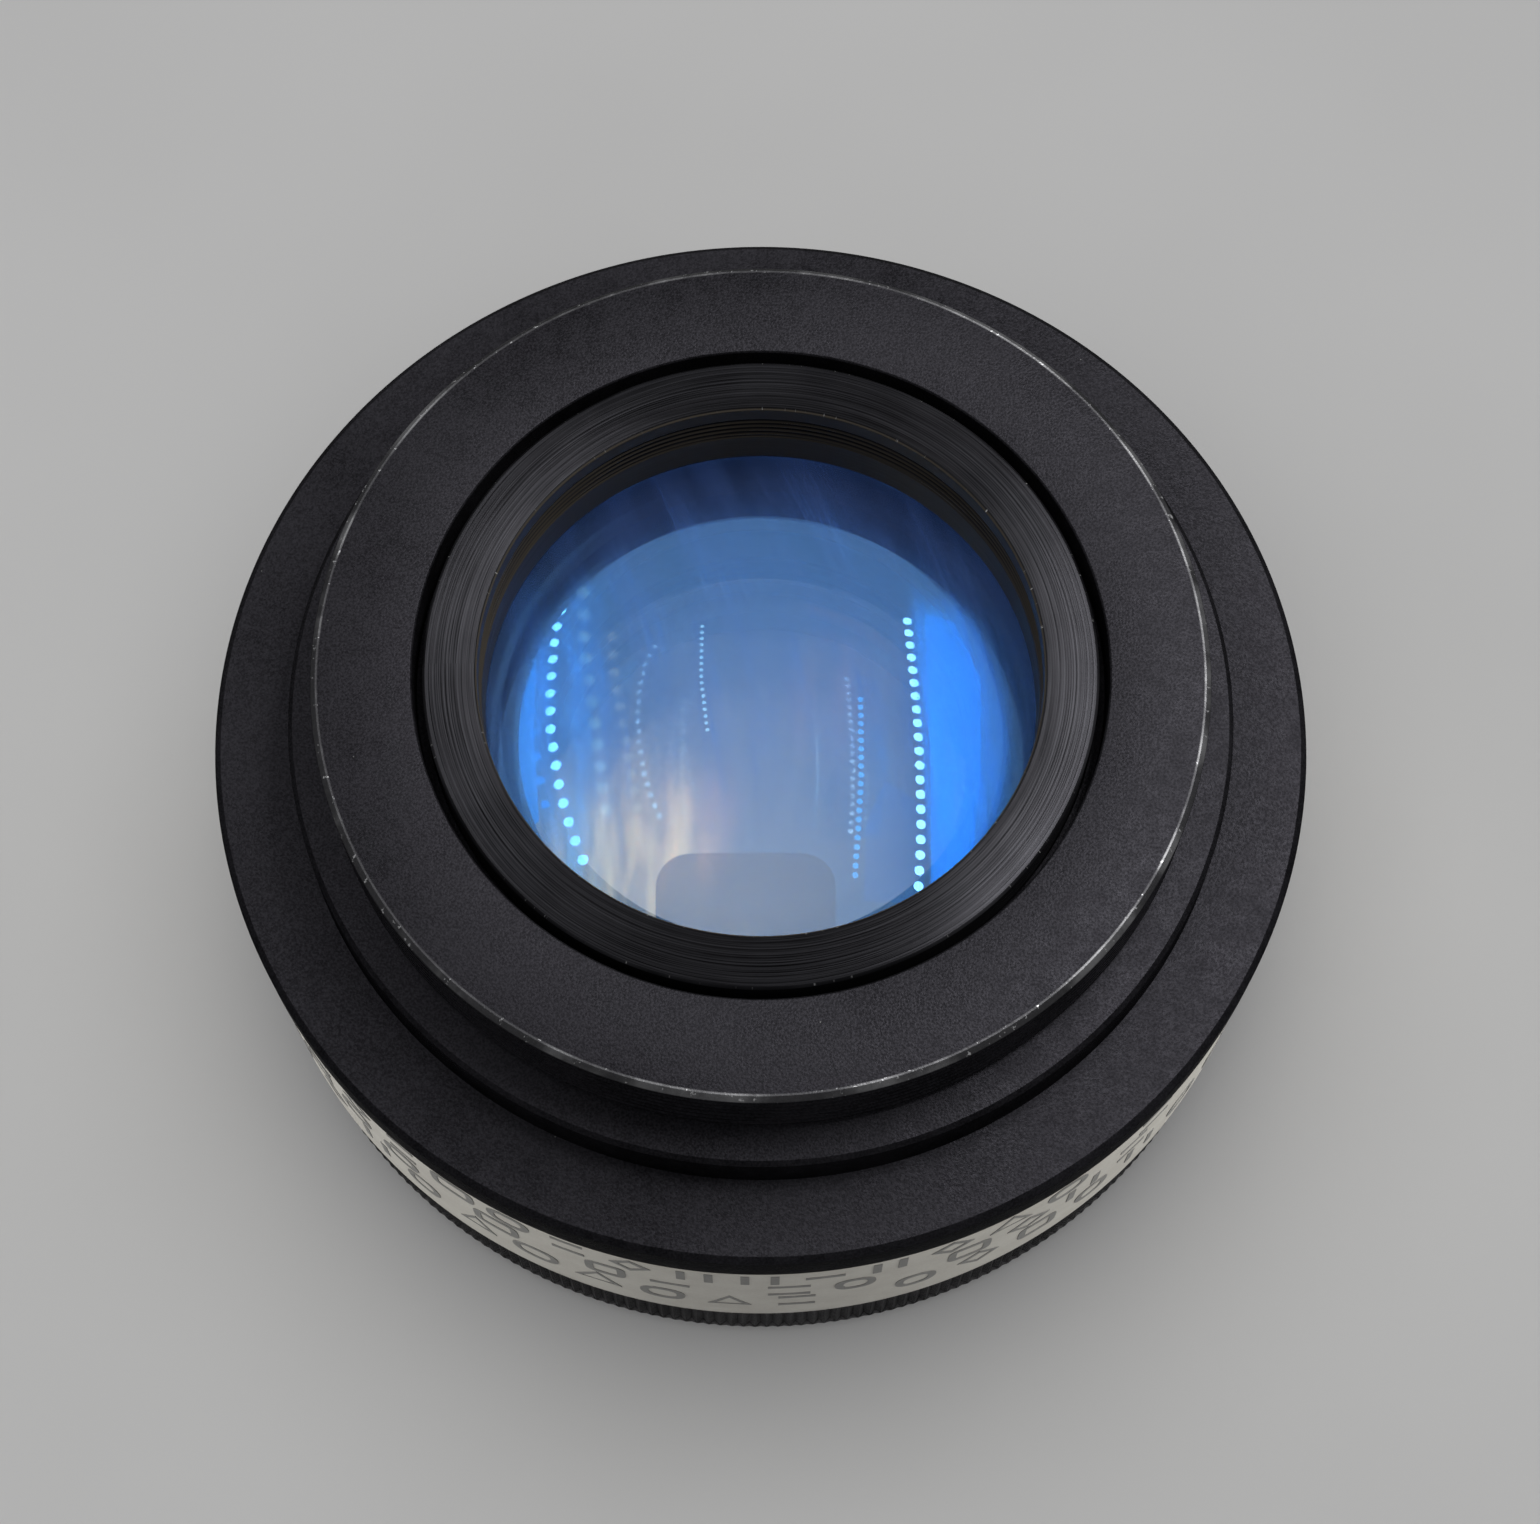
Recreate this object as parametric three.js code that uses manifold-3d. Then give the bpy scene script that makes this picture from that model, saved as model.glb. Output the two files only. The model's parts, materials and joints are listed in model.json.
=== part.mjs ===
// Enlarger lens with an M50 rear mounting spigot, a wide seating flange and a
// five-blade iris worked by a serrated aperture ring at the front.
// Millimetres, +Z up. The lens stands on its front rim at z = 0 and the optical
// axis is Z, with the rear (enlarger) end at the top.
import * as THREE from 'three';
import { mergeVertices } from 'three/addons/utils/BufferGeometryUtils.js';
import Module from 'manifold-3d';

const wasm = await Module();
wasm.setup();

// ---------------------------------------------------------------- dimensions
const SEG = 40;              // facets round the large turned parts
const SEG_IN = 20;           // facets round the optics and small rings

// rear mount
const SPIGOT_R = 25.0;       // crest of the M50 x 0.75 thread
const REAR_Z = 32.03;        // rear face of the spigot
const SPIGOT_BEVEL = 0.28;
const CELL_GAP_R = 19.35;    // counterbore round the rear cell
const CELL_GAP_Z = 29.4;
const CELL_BORE_R = 18.85;
const REGISTER_Z = 26.17;    // shelf that centres in the lens board
const REGISTER_R = 27.1;
const REGISTER_TOP_R = 26.7;
const FLANGE_R = 31.75;
const FLANGE_TOP = 23.0;
const FLANGE_BOTTOM = 19.73;
const FLANGE_CHAMFER = 0.37;
const SKIRT_R0 = 27.4;       // threaded skirt that screws into the barrel
const SKIRT_R1 = 29.45;
const SKIRT_Z = 16.7;

// main barrel
const BARREL_R = 31.55;
const BARREL_Z0 = 7.35;      // underside of the web, above the aperture ring
const WEB_Z = 9.6;
const SHELL_R = 29.5;
const SLEEVE_R1 = 25.0;      // outside of the inner sleeve, bearing of the ring
const SLEEVE_R0 = 21.6;      // inside of the sleeve, bearing of the actuator
const SLEEVE_TOP_R1 = 25.6;
const IRIS_SEAT_Z = 12.5;
const IRIS_BORE_R = 22.4;
const NECK_R1 = 24.4;        // threaded neck for the front bezel
const NECK_R0 = 23.2;
const NECK_Z0 = 0.45;
const NECK_Z1 = 1.7;

// label tape, 12 mm class, wrapped on the barrel
const LABEL_R0 = 31.56;
const LABEL_R1 = 31.68;
const LABEL_Z0 = 7.45;
const LABEL_Z1 = 19.63;
const LABEL_FROM = 162;  // degrees, runs past the -Y side
const LABEL_TO = 378;

// aperture ring
const RING_R0 = 25.1;
const RING_R1 = 31.3;
const RING_Z0 = 1.65;
const RING_Z1 = 7.25;
const RING_TURN = 60;        // degrees from fully open to the smallest stop

// front bezel
const BEZEL_R = 29.2;
const BEZEL_TOP = 1.5;
const BEZEL_LIP = 0.35;
const BEZEL_LIP_R = 20.6;

// drive screw through the aperture ring into the actuator
const DRIVE_ANGLE = 90;      // at +Y with the iris fully open
const DRIVE_Z = 4.4;
const DRIVE_R = 1.0;
const DRIVE_HEAD_R = 1.25;

// iris
const BLADES = 5;
const BLADE_TURN = 30;       // degrees, half of RING_TURN
const BLADE_R0 = 11.7;       // inner edge of an open blade
const BLADE_R1 = 16.9;
const BLADE_SPAN = 128;
const BLADE_T = 0.15;
const BLADE_PITCH = 0.25;
const BLADE_Z0 = 13.05;
const PIVOT_R = 17.6;        // pivot pins
const PIVOT_PIN_R = 0.4;
const LEVER = 3.6;           // pivot pin to drive pin
const LEVER_ANGLE = -80;
const LEVER_PIN_R = 0.35;
const PIN_CLEAR = 0.06;
const CAM_Z0 = 12.4;
const CAM_Z1 = 13.0;
const CAM_R0 = 15.8;
const ACT_R0 = 20.2;
const ACT_R1 = 21.5;
const ACT_Z0 = 1.75;
const BASE_Z0 = 14.4;
const BASE_Z1 = 14.9;
const BASE_R0 = 11.5;
const IRIS_OD = 22.35;
const IRIS_LOCK_Z1 = 16.4;

// optics: vertex heights and sphere radii, every surface domed away from the iris
const REAR = {
  elem: { r: 16.5, z0: 23.6, R0: 300, z1: 26.9, R1: 110 },
  outer: { r: 13.6, z0: 19.0, R0: 90, z1: 21.7, R1: 45 },
  inner: { r: 13.6, z0: 17.8, R0: 30, clear: 11.4 },
};
const FRONT = {
  elem: { r: 14.7, z0: 5.3, R0: 300, z1: 2.1, R1: 110 },
  outer: { r: 13.2, z0: 8.8, R0: 90, z1: 5.9, R1: 45 },
  inner: { r: 13.2, z0: 9.9, R0: 30, clear: 11.2 },
};

const rad = (d) => (d * Math.PI) / 180;

// ------------------------------------------------------------------- helpers
// Welds a geometry, drops empty triangles and turns its faces outwards.
function weld(geometry) {
  const g = geometry.index ? geometry.toNonIndexed() : geometry.clone();
  g.deleteAttribute('normal');
  g.deleteAttribute('uv');
  const m = mergeVertices(g, 1e-5);
  const p = m.attributes.position.array;
  const src = m.index.array;
  const tri = [];
  let volume = 0;
  for (let i = 0; i < src.length; i += 3) {
    const [a, b, c] = [src[i], src[i + 1], src[i + 2]];
    if (a === b || b === c || a === c) continue;
    tri.push(a, b, c);
    const A = new THREE.Vector3().fromArray(p, a * 3);
    const B = new THREE.Vector3().fromArray(p, b * 3);
    const C = new THREE.Vector3().fromArray(p, c * 3);
    volume += A.dot(B.cross(C)) / 6;
  }
  if (volume < 0) {
    for (let i = 0; i < tri.length; i += 3) [tri[i + 1], tri[i + 2]] = [tri[i + 2], tri[i + 1]];
  }
  const out = new THREE.BufferGeometry();
  out.setAttribute('position', new THREE.BufferAttribute(new Float32Array(p), 3));
  out.setIndex(tri);
  return out;
}

function solid(geometry) {
  const g = weld(geometry);
  return new wasm.Manifold(new wasm.Mesh({
    numProp: 3,
    vertProperties: new Float32Array(g.attributes.position.array),
    triVerts: new Uint32Array(g.index.array),
  }));
}

function surface(manifold) {
  const mesh = manifold.getMesh();
  const out = new THREE.BufferGeometry();
  out.setAttribute('position', new THREE.BufferAttribute(new Float32Array(mesh.vertProperties), 3));
  out.setIndex(Array.from(mesh.triVerts));
  return out;
}

// A turned part: [radius, height] points of a profile that closes on itself or
// starts and ends on the axis.
function turned(profile, segments = SEG) {
  const pts = profile.map(([r, z]) => new THREE.Vector2(r, z));
  if (profile[0][0] > 0) pts.push(pts[0].clone());
  const g = new THREE.LatheGeometry(pts, segments);
  g.rotateX(Math.PI / 2);
  return g;
}

// Part of a turned ring between two angles, with flat ends.
function arcRing(r0, r1, z0, z1, from, to, steps) {
  const s = new THREE.Shape();
  const at = (r, a) => [r * Math.cos(rad(a)), r * Math.sin(rad(a))];
  for (let i = 0; i <= steps; i++) {
    const p = at(r1, from + ((to - from) * i) / steps);
    if (i) s.lineTo(...p); else s.moveTo(...p);
  }
  for (let i = steps; i >= 0; i--) s.lineTo(...at(r0, from + ((to - from) * i) / steps));
  const g = new THREE.ExtrudeGeometry(s, { depth: z1 - z0, bevelEnabled: false, steps: 1 });
  g.translate(0, 0, z0);
  return g;
}

// A round bar along Z from z0 to z1 at x, y.
function bar(r, z0, z1, x = 0, y = 0, segments = 12) {
  const g = new THREE.CylinderGeometry(r, r, z1 - z0, segments);
  g.rotateX(Math.PI / 2);
  g.translate(x, y, (z0 + z1) / 2);
  return g;
}

// A round bar lying along the radius at an angle, from radius r0 to r1.
function spoke(r, r0, r1, z, angle, segments = 16) {
  const g = new THREE.CylinderGeometry(r, r, r1 - r0, segments);
  g.rotateZ(-Math.PI / 2);
  g.translate((r0 + r1) / 2, 0, z);
  g.rotateZ(rad(angle));
  return g;
}

const sag = (R, r) => R - Math.sqrt(R * R - r * r);

// Points along a domed surface from radius a to b: up = 1 domes upwards.
function dome(z, R, a, b, up, steps = 4) {
  const out = [];
  for (let i = 0; i <= steps; i++) {
    const r = a + ((b - a) * i) / steps;
    out.push([r, z - up * sag(R, r)]);
  }
  return out;
}

const lens = new THREE.Group();
function add(name, geometry, color, roughness, metalness, extra = {}) {
  const g = weld(geometry);
  const flat = g.toNonIndexed();
  flat.computeVertexNormals();
  const mesh = new THREE.Mesh(g, new THREE.MeshStandardMaterial({
    color, roughness, metalness, flatShading: true, ...extra,
  }));
  mesh.name = name;
  lens.add(mesh);
  return mesh;
}
const BLACK = 0x1d1e21;      // satin black anodised aluminium
const MATT = 0x0c0c0d;       // matt black inside
const STEEL = 0x9a9c9f;
const BRASS = 0xa08040;
const GLASS = { transparent: true, opacity: 0.35 };

// ---------------------------------------------------------------- rear mount
add('mount_flange', turned([
  [CELL_BORE_R, FLANGE_BOTTOM],
  [SKIRT_R0, FLANGE_BOTTOM], [SKIRT_R0, SKIRT_Z], [SKIRT_R1, SKIRT_Z], [SKIRT_R1, FLANGE_BOTTOM],
  [FLANGE_R - 0.2, FLANGE_BOTTOM], [FLANGE_R, FLANGE_BOTTOM + 0.2],
  [FLANGE_R, FLANGE_TOP - FLANGE_CHAMFER], [FLANGE_R - FLANGE_CHAMFER, FLANGE_TOP],
  [REGISTER_R, FLANGE_TOP], [REGISTER_R - 0.1, REGISTER_Z - 0.27], [REGISTER_TOP_R, REGISTER_Z],
  [SPIGOT_R, REGISTER_Z], [SPIGOT_R, REAR_Z - SPIGOT_BEVEL], [SPIGOT_R - SPIGOT_BEVEL, REAR_Z],
  [CELL_GAP_R, REAR_Z], [CELL_GAP_R, CELL_GAP_Z], [CELL_BORE_R, CELL_GAP_Z],
]), BLACK, 0.5, 0.6);

// --------------------------------------------------------------- main barrel
let barrel = solid(turned([
  [SLEEVE_R0, NECK_Z1], [NECK_R0, NECK_Z1], [NECK_R0, NECK_Z0], [NECK_R1, NECK_Z0],
  [NECK_R1, 1.6], [SLEEVE_R1, 1.6], [SLEEVE_R1, BARREL_Z0], [BARREL_R, BARREL_Z0],
  [BARREL_R, FLANGE_BOTTOM], [SHELL_R, FLANGE_BOTTOM], [SHELL_R, WEB_Z],
  [SLEEVE_TOP_R1, WEB_Z], [SLEEVE_TOP_R1, FLANGE_BOTTOM], [IRIS_BORE_R, FLANGE_BOTTOM],
  [IRIS_BORE_R, IRIS_SEAT_Z], [SLEEVE_R0, IRIS_SEAT_Z],
]));
// slot that lets the drive screw swing from open to closed, its ends the stops
barrel = barrel.subtract(solid(arcRing(
  SLEEVE_R0 - 0.8, SLEEVE_R1 + 0.8, DRIVE_Z - DRIVE_R - 0.12, DRIVE_Z + DRIVE_R + 0.12,
  DRIVE_ANGLE - 4, DRIVE_ANGLE + RING_TURN + 4, 12,
)));
// click ball hole through the web and the tapped hole of the spring screw
const CLICK_ANGLE = 250;
const CLICK_R = 28.0;
const BALL_R = 1.15;
const at = (r, a) => [r * Math.cos(rad(a)), r * Math.sin(rad(a))];
const ball = at(CLICK_R, CLICK_ANGLE);
const screw = at(CLICK_R - 0.35, CLICK_ANGLE + 14);
barrel = barrel.subtract(solid(bar(BALL_R + 0.06, BARREL_Z0 - 1, WEB_Z + 1, ...ball)));
barrel = barrel.subtract(solid(bar(0.55, WEB_Z - 1.6, WEB_Z + 1, ...screw, 10)));
add('main_barrel', surface(barrel), BLACK, 0.5, 0.6);

add('label_band', arcRing(LABEL_R0, LABEL_R1, LABEL_Z0, LABEL_Z1, LABEL_FROM, LABEL_TO, 24), 0xd8d3c4, 0.55, 0);

// ------------------------------------------------------------- rear optics
// a tube with a lip that the rear element bears against from below
add('rear_cell', turned([
  [16.55, 15.1], [18.8, 15.1], [18.8, 31.7], [18.65, 31.85],
  [15.92, 31.85], [15.77, 31.7], [15.77, 25.8], [16.55, 25.8],
], SEG), 0x232325, 0.4, 0.7);

function single(e, up) {
  const s = [...dome(e.z0, e.R0, 0, e.r, up), ...dome(e.z1, e.R1, e.r, 0, up)];
  return turned(s, SEG_IN);
}
function outerHalf(e, up) {
  return turned([...dome(e.z0, e.R0, 0, e.r, up), ...dome(e.z1, e.R1, e.r, 0, up)], SEG_IN);
}
function innerHalf(e, o, up) {
  const edge = e.z0 - up * sag(e.R0, e.clear);
  return turned([...dome(e.z0, e.R0, 0, e.clear, up), [e.r, edge], ...dome(o.z0, o.R0, e.r, 0, up)], SEG_IN);
}
add('rear_element', single(REAR.elem, 1), 0x4a5f78, 0.05, 0, GLASS);
add('rear_doublet_positive', outerHalf(REAR.outer, 1), 0x5c6a78, 0.05, 0, GLASS);
add('rear_doublet_negative', innerHalf(REAR.inner, REAR.outer, 1), 0x5c6a78, 0.05, 0, GLASS);
// holds the doublet and spaces the rear element from it
add('rear_doublet_holder', turned([
  [13.65, 15.6], [16.5, 15.6], [16.5, 23.1], [14.1, 23.1], [12.9, 21.6], [12.9, 19.88], [13.65, 19.66],
], SEG_IN), MATT, 0.9, 0.2);
add('rear_retaining_ring', turned([
  [11.8, 14.98], [16.5, 14.98], [16.5, 15.5], [11.8, 15.5],
], SEG_IN), MATT, 0.6, 0.5);

// ------------------------------------------------------------- front optics
add('front_cell', turned([
  [13.25, 12.12], [11.4, 12.12], [11.4, 12.6], [15.5, 12.6], [15.5, 11.9], [20.0, 11.9],
  [20.0, 1.6], [23.1, 1.6], [23.1, 0.45], [19.6, 0.45], [14.75, 1.5], [14.75, 5.7], [13.25, 5.7],
], SEG), MATT, 0.7, 0.4);
add('front_element', single(FRONT.elem, -1), 0x4a5f78, 0.05, 0, GLASS);
add('front_doublet_positive', outerHalf(FRONT.outer, -1), 0x5c6a78, 0.05, 0, GLASS);
add('front_doublet_negative', innerHalf(FRONT.inner, FRONT.outer, -1), 0x5c6a78, 0.05, 0, GLASS);
add('front_spacer_ring', turned([
  [12.5, 5.62], [13.18, 5.65], [13.18, 7.83], [12.5, 7.61],
], SEG_IN), MATT, 0.9, 0.2);
add('front_retaining_ring', turned([
  [14.0, 1.5], [14.3, 1.2], [14.68, 1.2], [14.68, 3.02], [14.0, 2.93],
], SEG_IN), MATT, 0.6, 0.5);

// ------------------------------------------------- front bezel, aperture ring
add('front_bezel', turned([
  [BEZEL_LIP_R + 0.15, 0], [BEZEL_R - 0.2, 0], [BEZEL_R, 0.2], [BEZEL_R, BEZEL_TOP],
  [NECK_R1 + 0.05, BEZEL_TOP], [NECK_R1 + 0.05, BEZEL_LIP], [BEZEL_LIP_R, BEZEL_LIP], [BEZEL_LIP_R, 0.15],
]), BLACK, 0.5, 0.6);

let ring = solid(turned([
  [RING_R0, RING_Z0], [RING_R1 - 0.3, RING_Z0], [RING_R1, RING_Z0 + 0.3],
  [RING_R1, RING_Z1 - 0.2], [RING_R1 - 0.2, RING_Z1],
  [29.35, RING_Z1], [29.35, RING_Z1 - 0.35], [26.65, RING_Z1 - 0.35], [26.65, RING_Z1],
  [RING_R0, RING_Z1],
]));
ring = ring.subtract(solid(spoke(DRIVE_HEAD_R + 0.05, 24, 33, DRIVE_Z, DRIVE_ANGLE)));
add('aperture_ring', surface(ring), 0x2e312f, 0.55, 0.5);

// cam sleeve: a tube turned by the drive screw, with the slotted cam plate on top
let sleeve = solid(turned([
  [ACT_R0, ACT_Z0], [ACT_R1, ACT_Z0], [ACT_R1, CAM_Z1], [CAM_R0, CAM_Z1], [CAM_R0, CAM_Z0], [ACT_R0, CAM_Z0],
]));
sleeve = sleeve.subtract(solid(spoke(DRIVE_R + 0.05, 19, 23, DRIVE_Z, DRIVE_ANGLE)));
// Each slot is the path of a blade's drive pin seen from the turning sleeve, so
// that the blade turns by BLADE_TURN / RING_TURN of the ring's turn throughout.
function pinPath(t) {
  const phi = rad(LEVER_ANGLE + BLADE_TURN * t);
  const x = PIVOT_R + LEVER * Math.cos(phi);
  const y = LEVER * Math.sin(phi);
  const a = -rad(RING_TURN * t);
  return new THREE.Vector2(x * Math.cos(a) - y * Math.sin(a), x * Math.sin(a) + y * Math.cos(a));
}
function slotShape(half) {
  const n = 14;
  const left = [];
  const right = [];
  const path = [];
  for (let i = 0; i <= n; i++) path.push(pinPath(i / n));
  path.forEach((p, i) => {
    const q = path[Math.max(i - 1, 0)];
    const r = path[Math.min(i + 1, n)];
    const d = r.clone().sub(q).normalize();
    left.push(new THREE.Vector2(p.x - d.y * half, p.y + d.x * half));
    right.push(new THREE.Vector2(p.x + d.y * half, p.y - d.x * half));
  });
  const cap = (p, from, to) => {
    const a0 = Math.atan2(from.y - p.y, from.x - p.x);
    let a1 = Math.atan2(to.y - p.y, to.x - p.x);
    while (a1 > a0) a1 -= 2 * Math.PI;
    const out = [];
    for (let k = 1; k < 5; k++) {
      const a = a0 + ((a1 - a0) * k) / 5;
      out.push(new THREE.Vector2(p.x + half * Math.cos(a), p.y + half * Math.sin(a)));
    }
    return out;
  };
  return new THREE.Shape([
    ...left, ...cap(path[n], left[n], right[n]), ...right.reverse(), ...cap(path[0], right[n], left[0]),
  ]);
}
for (let i = 0; i < BLADES; i++) {
  const g = new THREE.ExtrudeGeometry(slotShape(LEVER_PIN_R + PIN_CLEAR), { depth: 1.4, bevelEnabled: false, steps: 1 });
  g.translate(0, 0, CAM_Z0 - 0.02);
  g.rotateZ(rad((360 / BLADES) * i));
  sleeve = sleeve.subtract(solid(g));
}
add('iris_actuator', surface(sleeve), MATT, 0.6, 0.5);

add('aperture_drive_screw', surface(
  solid(spoke(DRIVE_R, 20.35, 27.2, DRIVE_Z, DRIVE_ANGLE))
    .add(solid(spoke(DRIVE_HEAD_R, 27.0, 30.4, DRIVE_Z, DRIVE_ANGLE)))
    .subtract(solid(new THREE.BoxGeometry(3, 0.7, 0.4).translate(0, 30.4, DRIVE_Z))),
), STEEL, 0.35, 0.9);

// ---------------------------------------------------------------------- iris
function bladeShape() {
  const s = [];
  const n = 14;
  for (let i = 0; i <= n; i++) s.push(new THREE.Vector2(...at(BLADE_R1, -6 + ((BLADE_SPAN + 6) * i) / n)));
  for (let i = 1; i < 4; i++) {
    const a = (180 * i) / 4;
    const m = (BLADE_R0 + BLADE_R1) / 2;
    const h = (BLADE_R1 - BLADE_R0) / 2;
    const e = rad(BLADE_SPAN);
    const radial = m + h * Math.cos(rad(a));
    const along = h * 0.55 * Math.sin(rad(a));
    s.push(new THREE.Vector2(
      radial * Math.cos(e) - along * Math.sin(e),
      radial * Math.sin(e) + along * Math.cos(e),
    ));
  }
  for (let i = n; i >= 0; i--) s.push(new THREE.Vector2(...at(BLADE_R0, -2 + ((BLADE_SPAN + 2) * i) / n)));
  return new THREE.Shape(s);
}
function tailShape() {
  const p = new THREE.Vector2(PIVOT_R, 0);
  const d = new THREE.Vector2(PIVOT_R + LEVER * Math.cos(rad(LEVER_ANGLE)), LEVER * Math.sin(rad(LEVER_ANGLE)));
  const out = [];
  // hull of a 1 mm circle on the pivot and a 0.8 mm circle on the drive pin
  for (let k = 0; k <= 8; k++) {
    const a = rad(LEVER_ANGLE - 90 + (180 * k) / 8);
    out.push(new THREE.Vector2(d.x + 0.8 * Math.cos(a), d.y + 0.8 * Math.sin(a)));
  }
  for (let k = 0; k <= 8; k++) {
    const a = rad(LEVER_ANGLE + 90 + (180 * k) / 8);
    out.push(new THREE.Vector2(p.x + 1.0 * Math.cos(a), p.y + 1.0 * Math.sin(a)));
  }
  return new THREE.Shape(out);
}
const drive = [PIVOT_R + LEVER * Math.cos(rad(LEVER_ANGLE)), LEVER * Math.sin(rad(LEVER_ANGLE))];
for (let i = 0; i < BLADES; i++) {
  const z = BLADE_Z0 + BLADE_PITCH * i;
  const flat = { depth: BLADE_T, bevelEnabled: false, steps: 1 };
  const strip = new THREE.ExtrudeGeometry(bladeShape(), flat).translate(0, 0, z);
  const tail = new THREE.ExtrudeGeometry(tailShape(), flat).translate(0, 0, z);
  let blade = solid(strip).add(solid(tail));
  blade = blade.add(solid(bar(PIVOT_PIN_R, z + BLADE_T / 2, BASE_Z1 - 0.05, PIVOT_R, 0)));
  blade = blade.add(solid(bar(LEVER_PIN_R, CAM_Z0 + 0.08, z + BLADE_T / 2, ...drive)));
  const g = surface(blade);
  g.rotateZ(rad((360 / BLADES) * i));
  add(`iris_blade_${i + 1}`, g, 0x2a2b2e, 0.45, 0.8);
}
let base = solid(turned([
  [BASE_R0, BASE_Z0], [IRIS_OD, BASE_Z0], [IRIS_OD, BASE_Z1], [BASE_R0, BASE_Z1],
]));
for (let i = 0; i < BLADES; i++) {
  const g = bar(PIVOT_PIN_R + PIN_CLEAR, BASE_Z0 - 0.5, BASE_Z1 + 0.5, PIVOT_R, 0);
  g.rotateZ(rad((360 / BLADES) * i));
  base = base.subtract(solid(g));
}
add('iris_base_plate', surface(base), MATT, 0.7, 0.4);
add('iris_spacer_ring', turned([
  [21.75, IRIS_SEAT_Z], [IRIS_OD, IRIS_SEAT_Z], [IRIS_OD, BASE_Z0], [21.75, BASE_Z0],
]), BRASS, 0.5, 0.8);
add('iris_retaining_ring', turned([
  [20.5, BASE_Z1], [IRIS_OD, BASE_Z1], [IRIS_OD, IRIS_LOCK_Z1], [20.5, IRIS_LOCK_Z1],
]), MATT, 0.6, 0.5);

// --------------------------------------------------------------- click stop
const ballZ = RING_Z1 - 0.35 + 0.06 + BALL_R;
add('click_ball', new THREE.SphereGeometry(BALL_R, 10, 7).translate(ball[0], ball[1], ballZ), STEEL, 0.15, 1);
const springZ = WEB_Z + 0.02;
const mid = CLICK_ANGLE + 7;
let spring = solid(arcRing(26.4, 29.0, springZ, springZ + 0.25, CLICK_ANGLE - 4, CLICK_ANGLE + 18, 6));
spring = spring.subtract(solid(bar(0.6, springZ - 1, springZ + 1, ...screw, 12)));
add('click_spring', surface(spring), 0xb49a5a, 0.35, 0.9);
add('click_spring_screw', surface(
  solid(bar(0.5, WEB_Z - 1.4, springZ + 0.4, ...screw, 10))
    .add(solid(bar(1.0, springZ + 0.27, springZ + 0.87, ...screw, 14)))
    .subtract(solid(new THREE.BoxGeometry(2.4, 0.35, 0.5).rotateZ(rad(mid)).translate(screw[0], screw[1], springZ + 0.87))),
), STEEL, 0.35, 0.9);

export default lens;
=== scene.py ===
import json
import math
import random

import bmesh
import bpy
import numpy as np
from mathutils import Matrix, Vector

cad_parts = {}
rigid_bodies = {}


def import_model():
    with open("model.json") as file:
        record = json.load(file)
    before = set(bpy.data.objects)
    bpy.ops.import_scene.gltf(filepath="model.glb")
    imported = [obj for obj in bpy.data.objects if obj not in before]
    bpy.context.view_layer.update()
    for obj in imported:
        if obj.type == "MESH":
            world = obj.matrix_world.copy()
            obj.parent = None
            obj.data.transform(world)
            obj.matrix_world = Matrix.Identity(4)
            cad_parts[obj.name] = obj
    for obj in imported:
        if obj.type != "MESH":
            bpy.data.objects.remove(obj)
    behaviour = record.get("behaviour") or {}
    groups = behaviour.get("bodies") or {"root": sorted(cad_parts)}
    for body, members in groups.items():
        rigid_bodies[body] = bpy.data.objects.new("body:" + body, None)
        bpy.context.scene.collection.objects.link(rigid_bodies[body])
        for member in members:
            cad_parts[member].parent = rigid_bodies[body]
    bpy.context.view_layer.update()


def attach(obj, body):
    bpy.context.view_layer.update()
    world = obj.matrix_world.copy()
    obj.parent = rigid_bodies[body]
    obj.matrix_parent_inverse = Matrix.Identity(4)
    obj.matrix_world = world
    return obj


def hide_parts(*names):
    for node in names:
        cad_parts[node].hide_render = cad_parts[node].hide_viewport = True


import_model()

MM = 0.001
TAU = 2 * math.pi
scene = bpy.context.scene


# ------------------------------------------------------------------ camera
ELEV = math.radians(69.3)
DIST = 0.1845
AIM_Z = 0.0167
cam_data = bpy.data.cameras.new("camera")
cam_data.sensor_width = 36.0
cam_data.lens = 3070.0 / 1540.0 * 36.0
cam_data.clip_start = 0.01
cam_data.shift_x = 0.006
cam_data.shift_y = -0.0013
cam = bpy.data.objects.new("camera", cam_data)
cam.location = (0.0, -DIST * math.cos(ELEV), AIM_Z + DIST * math.sin(ELEV))
cam.rotation_euler = (math.pi / 2 - ELEV, 0.0, 0.0)
scene.collection.objects.link(cam)
scene.camera = cam
scene.view_settings.view_transform = "Standard"
scene.view_settings.look = "None"
scene.view_settings.exposure = 0.0
# six elements have twelve surfaces, and light passes them twice
scene.cycles.max_bounces = 26
scene.cycles.transmission_bounces = 26
scene.cycles.transparent_max_bounces = 26


# ------------------------------------------------------------ mesh helpers
def finish_mesh(name, verts, faces, sharp=38.0):
    """A mesh object from millimetre vertices, with faces turned outwards."""
    me = bpy.data.meshes.new(name)
    me.from_pydata([tuple(float(c) * MM for c in v) for v in verts], [], faces)
    bm = bmesh.new()
    bm.from_mesh(me)
    bmesh.ops.remove_doubles(bm, verts=bm.verts, dist=1e-8)
    bmesh.ops.recalc_face_normals(bm, faces=bm.faces)
    if bm.calc_volume(signed=True) < 0:
        bmesh.ops.reverse_faces(bm, faces=bm.faces)
    bm.to_mesh(me)
    bm.free()
    me.shade_smooth()
    me.set_sharp_from_angle(angle=math.radians(sharp))
    ob = bpy.data.objects.new(name, me)
    scene.collection.objects.link(ob)
    return ob


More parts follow.
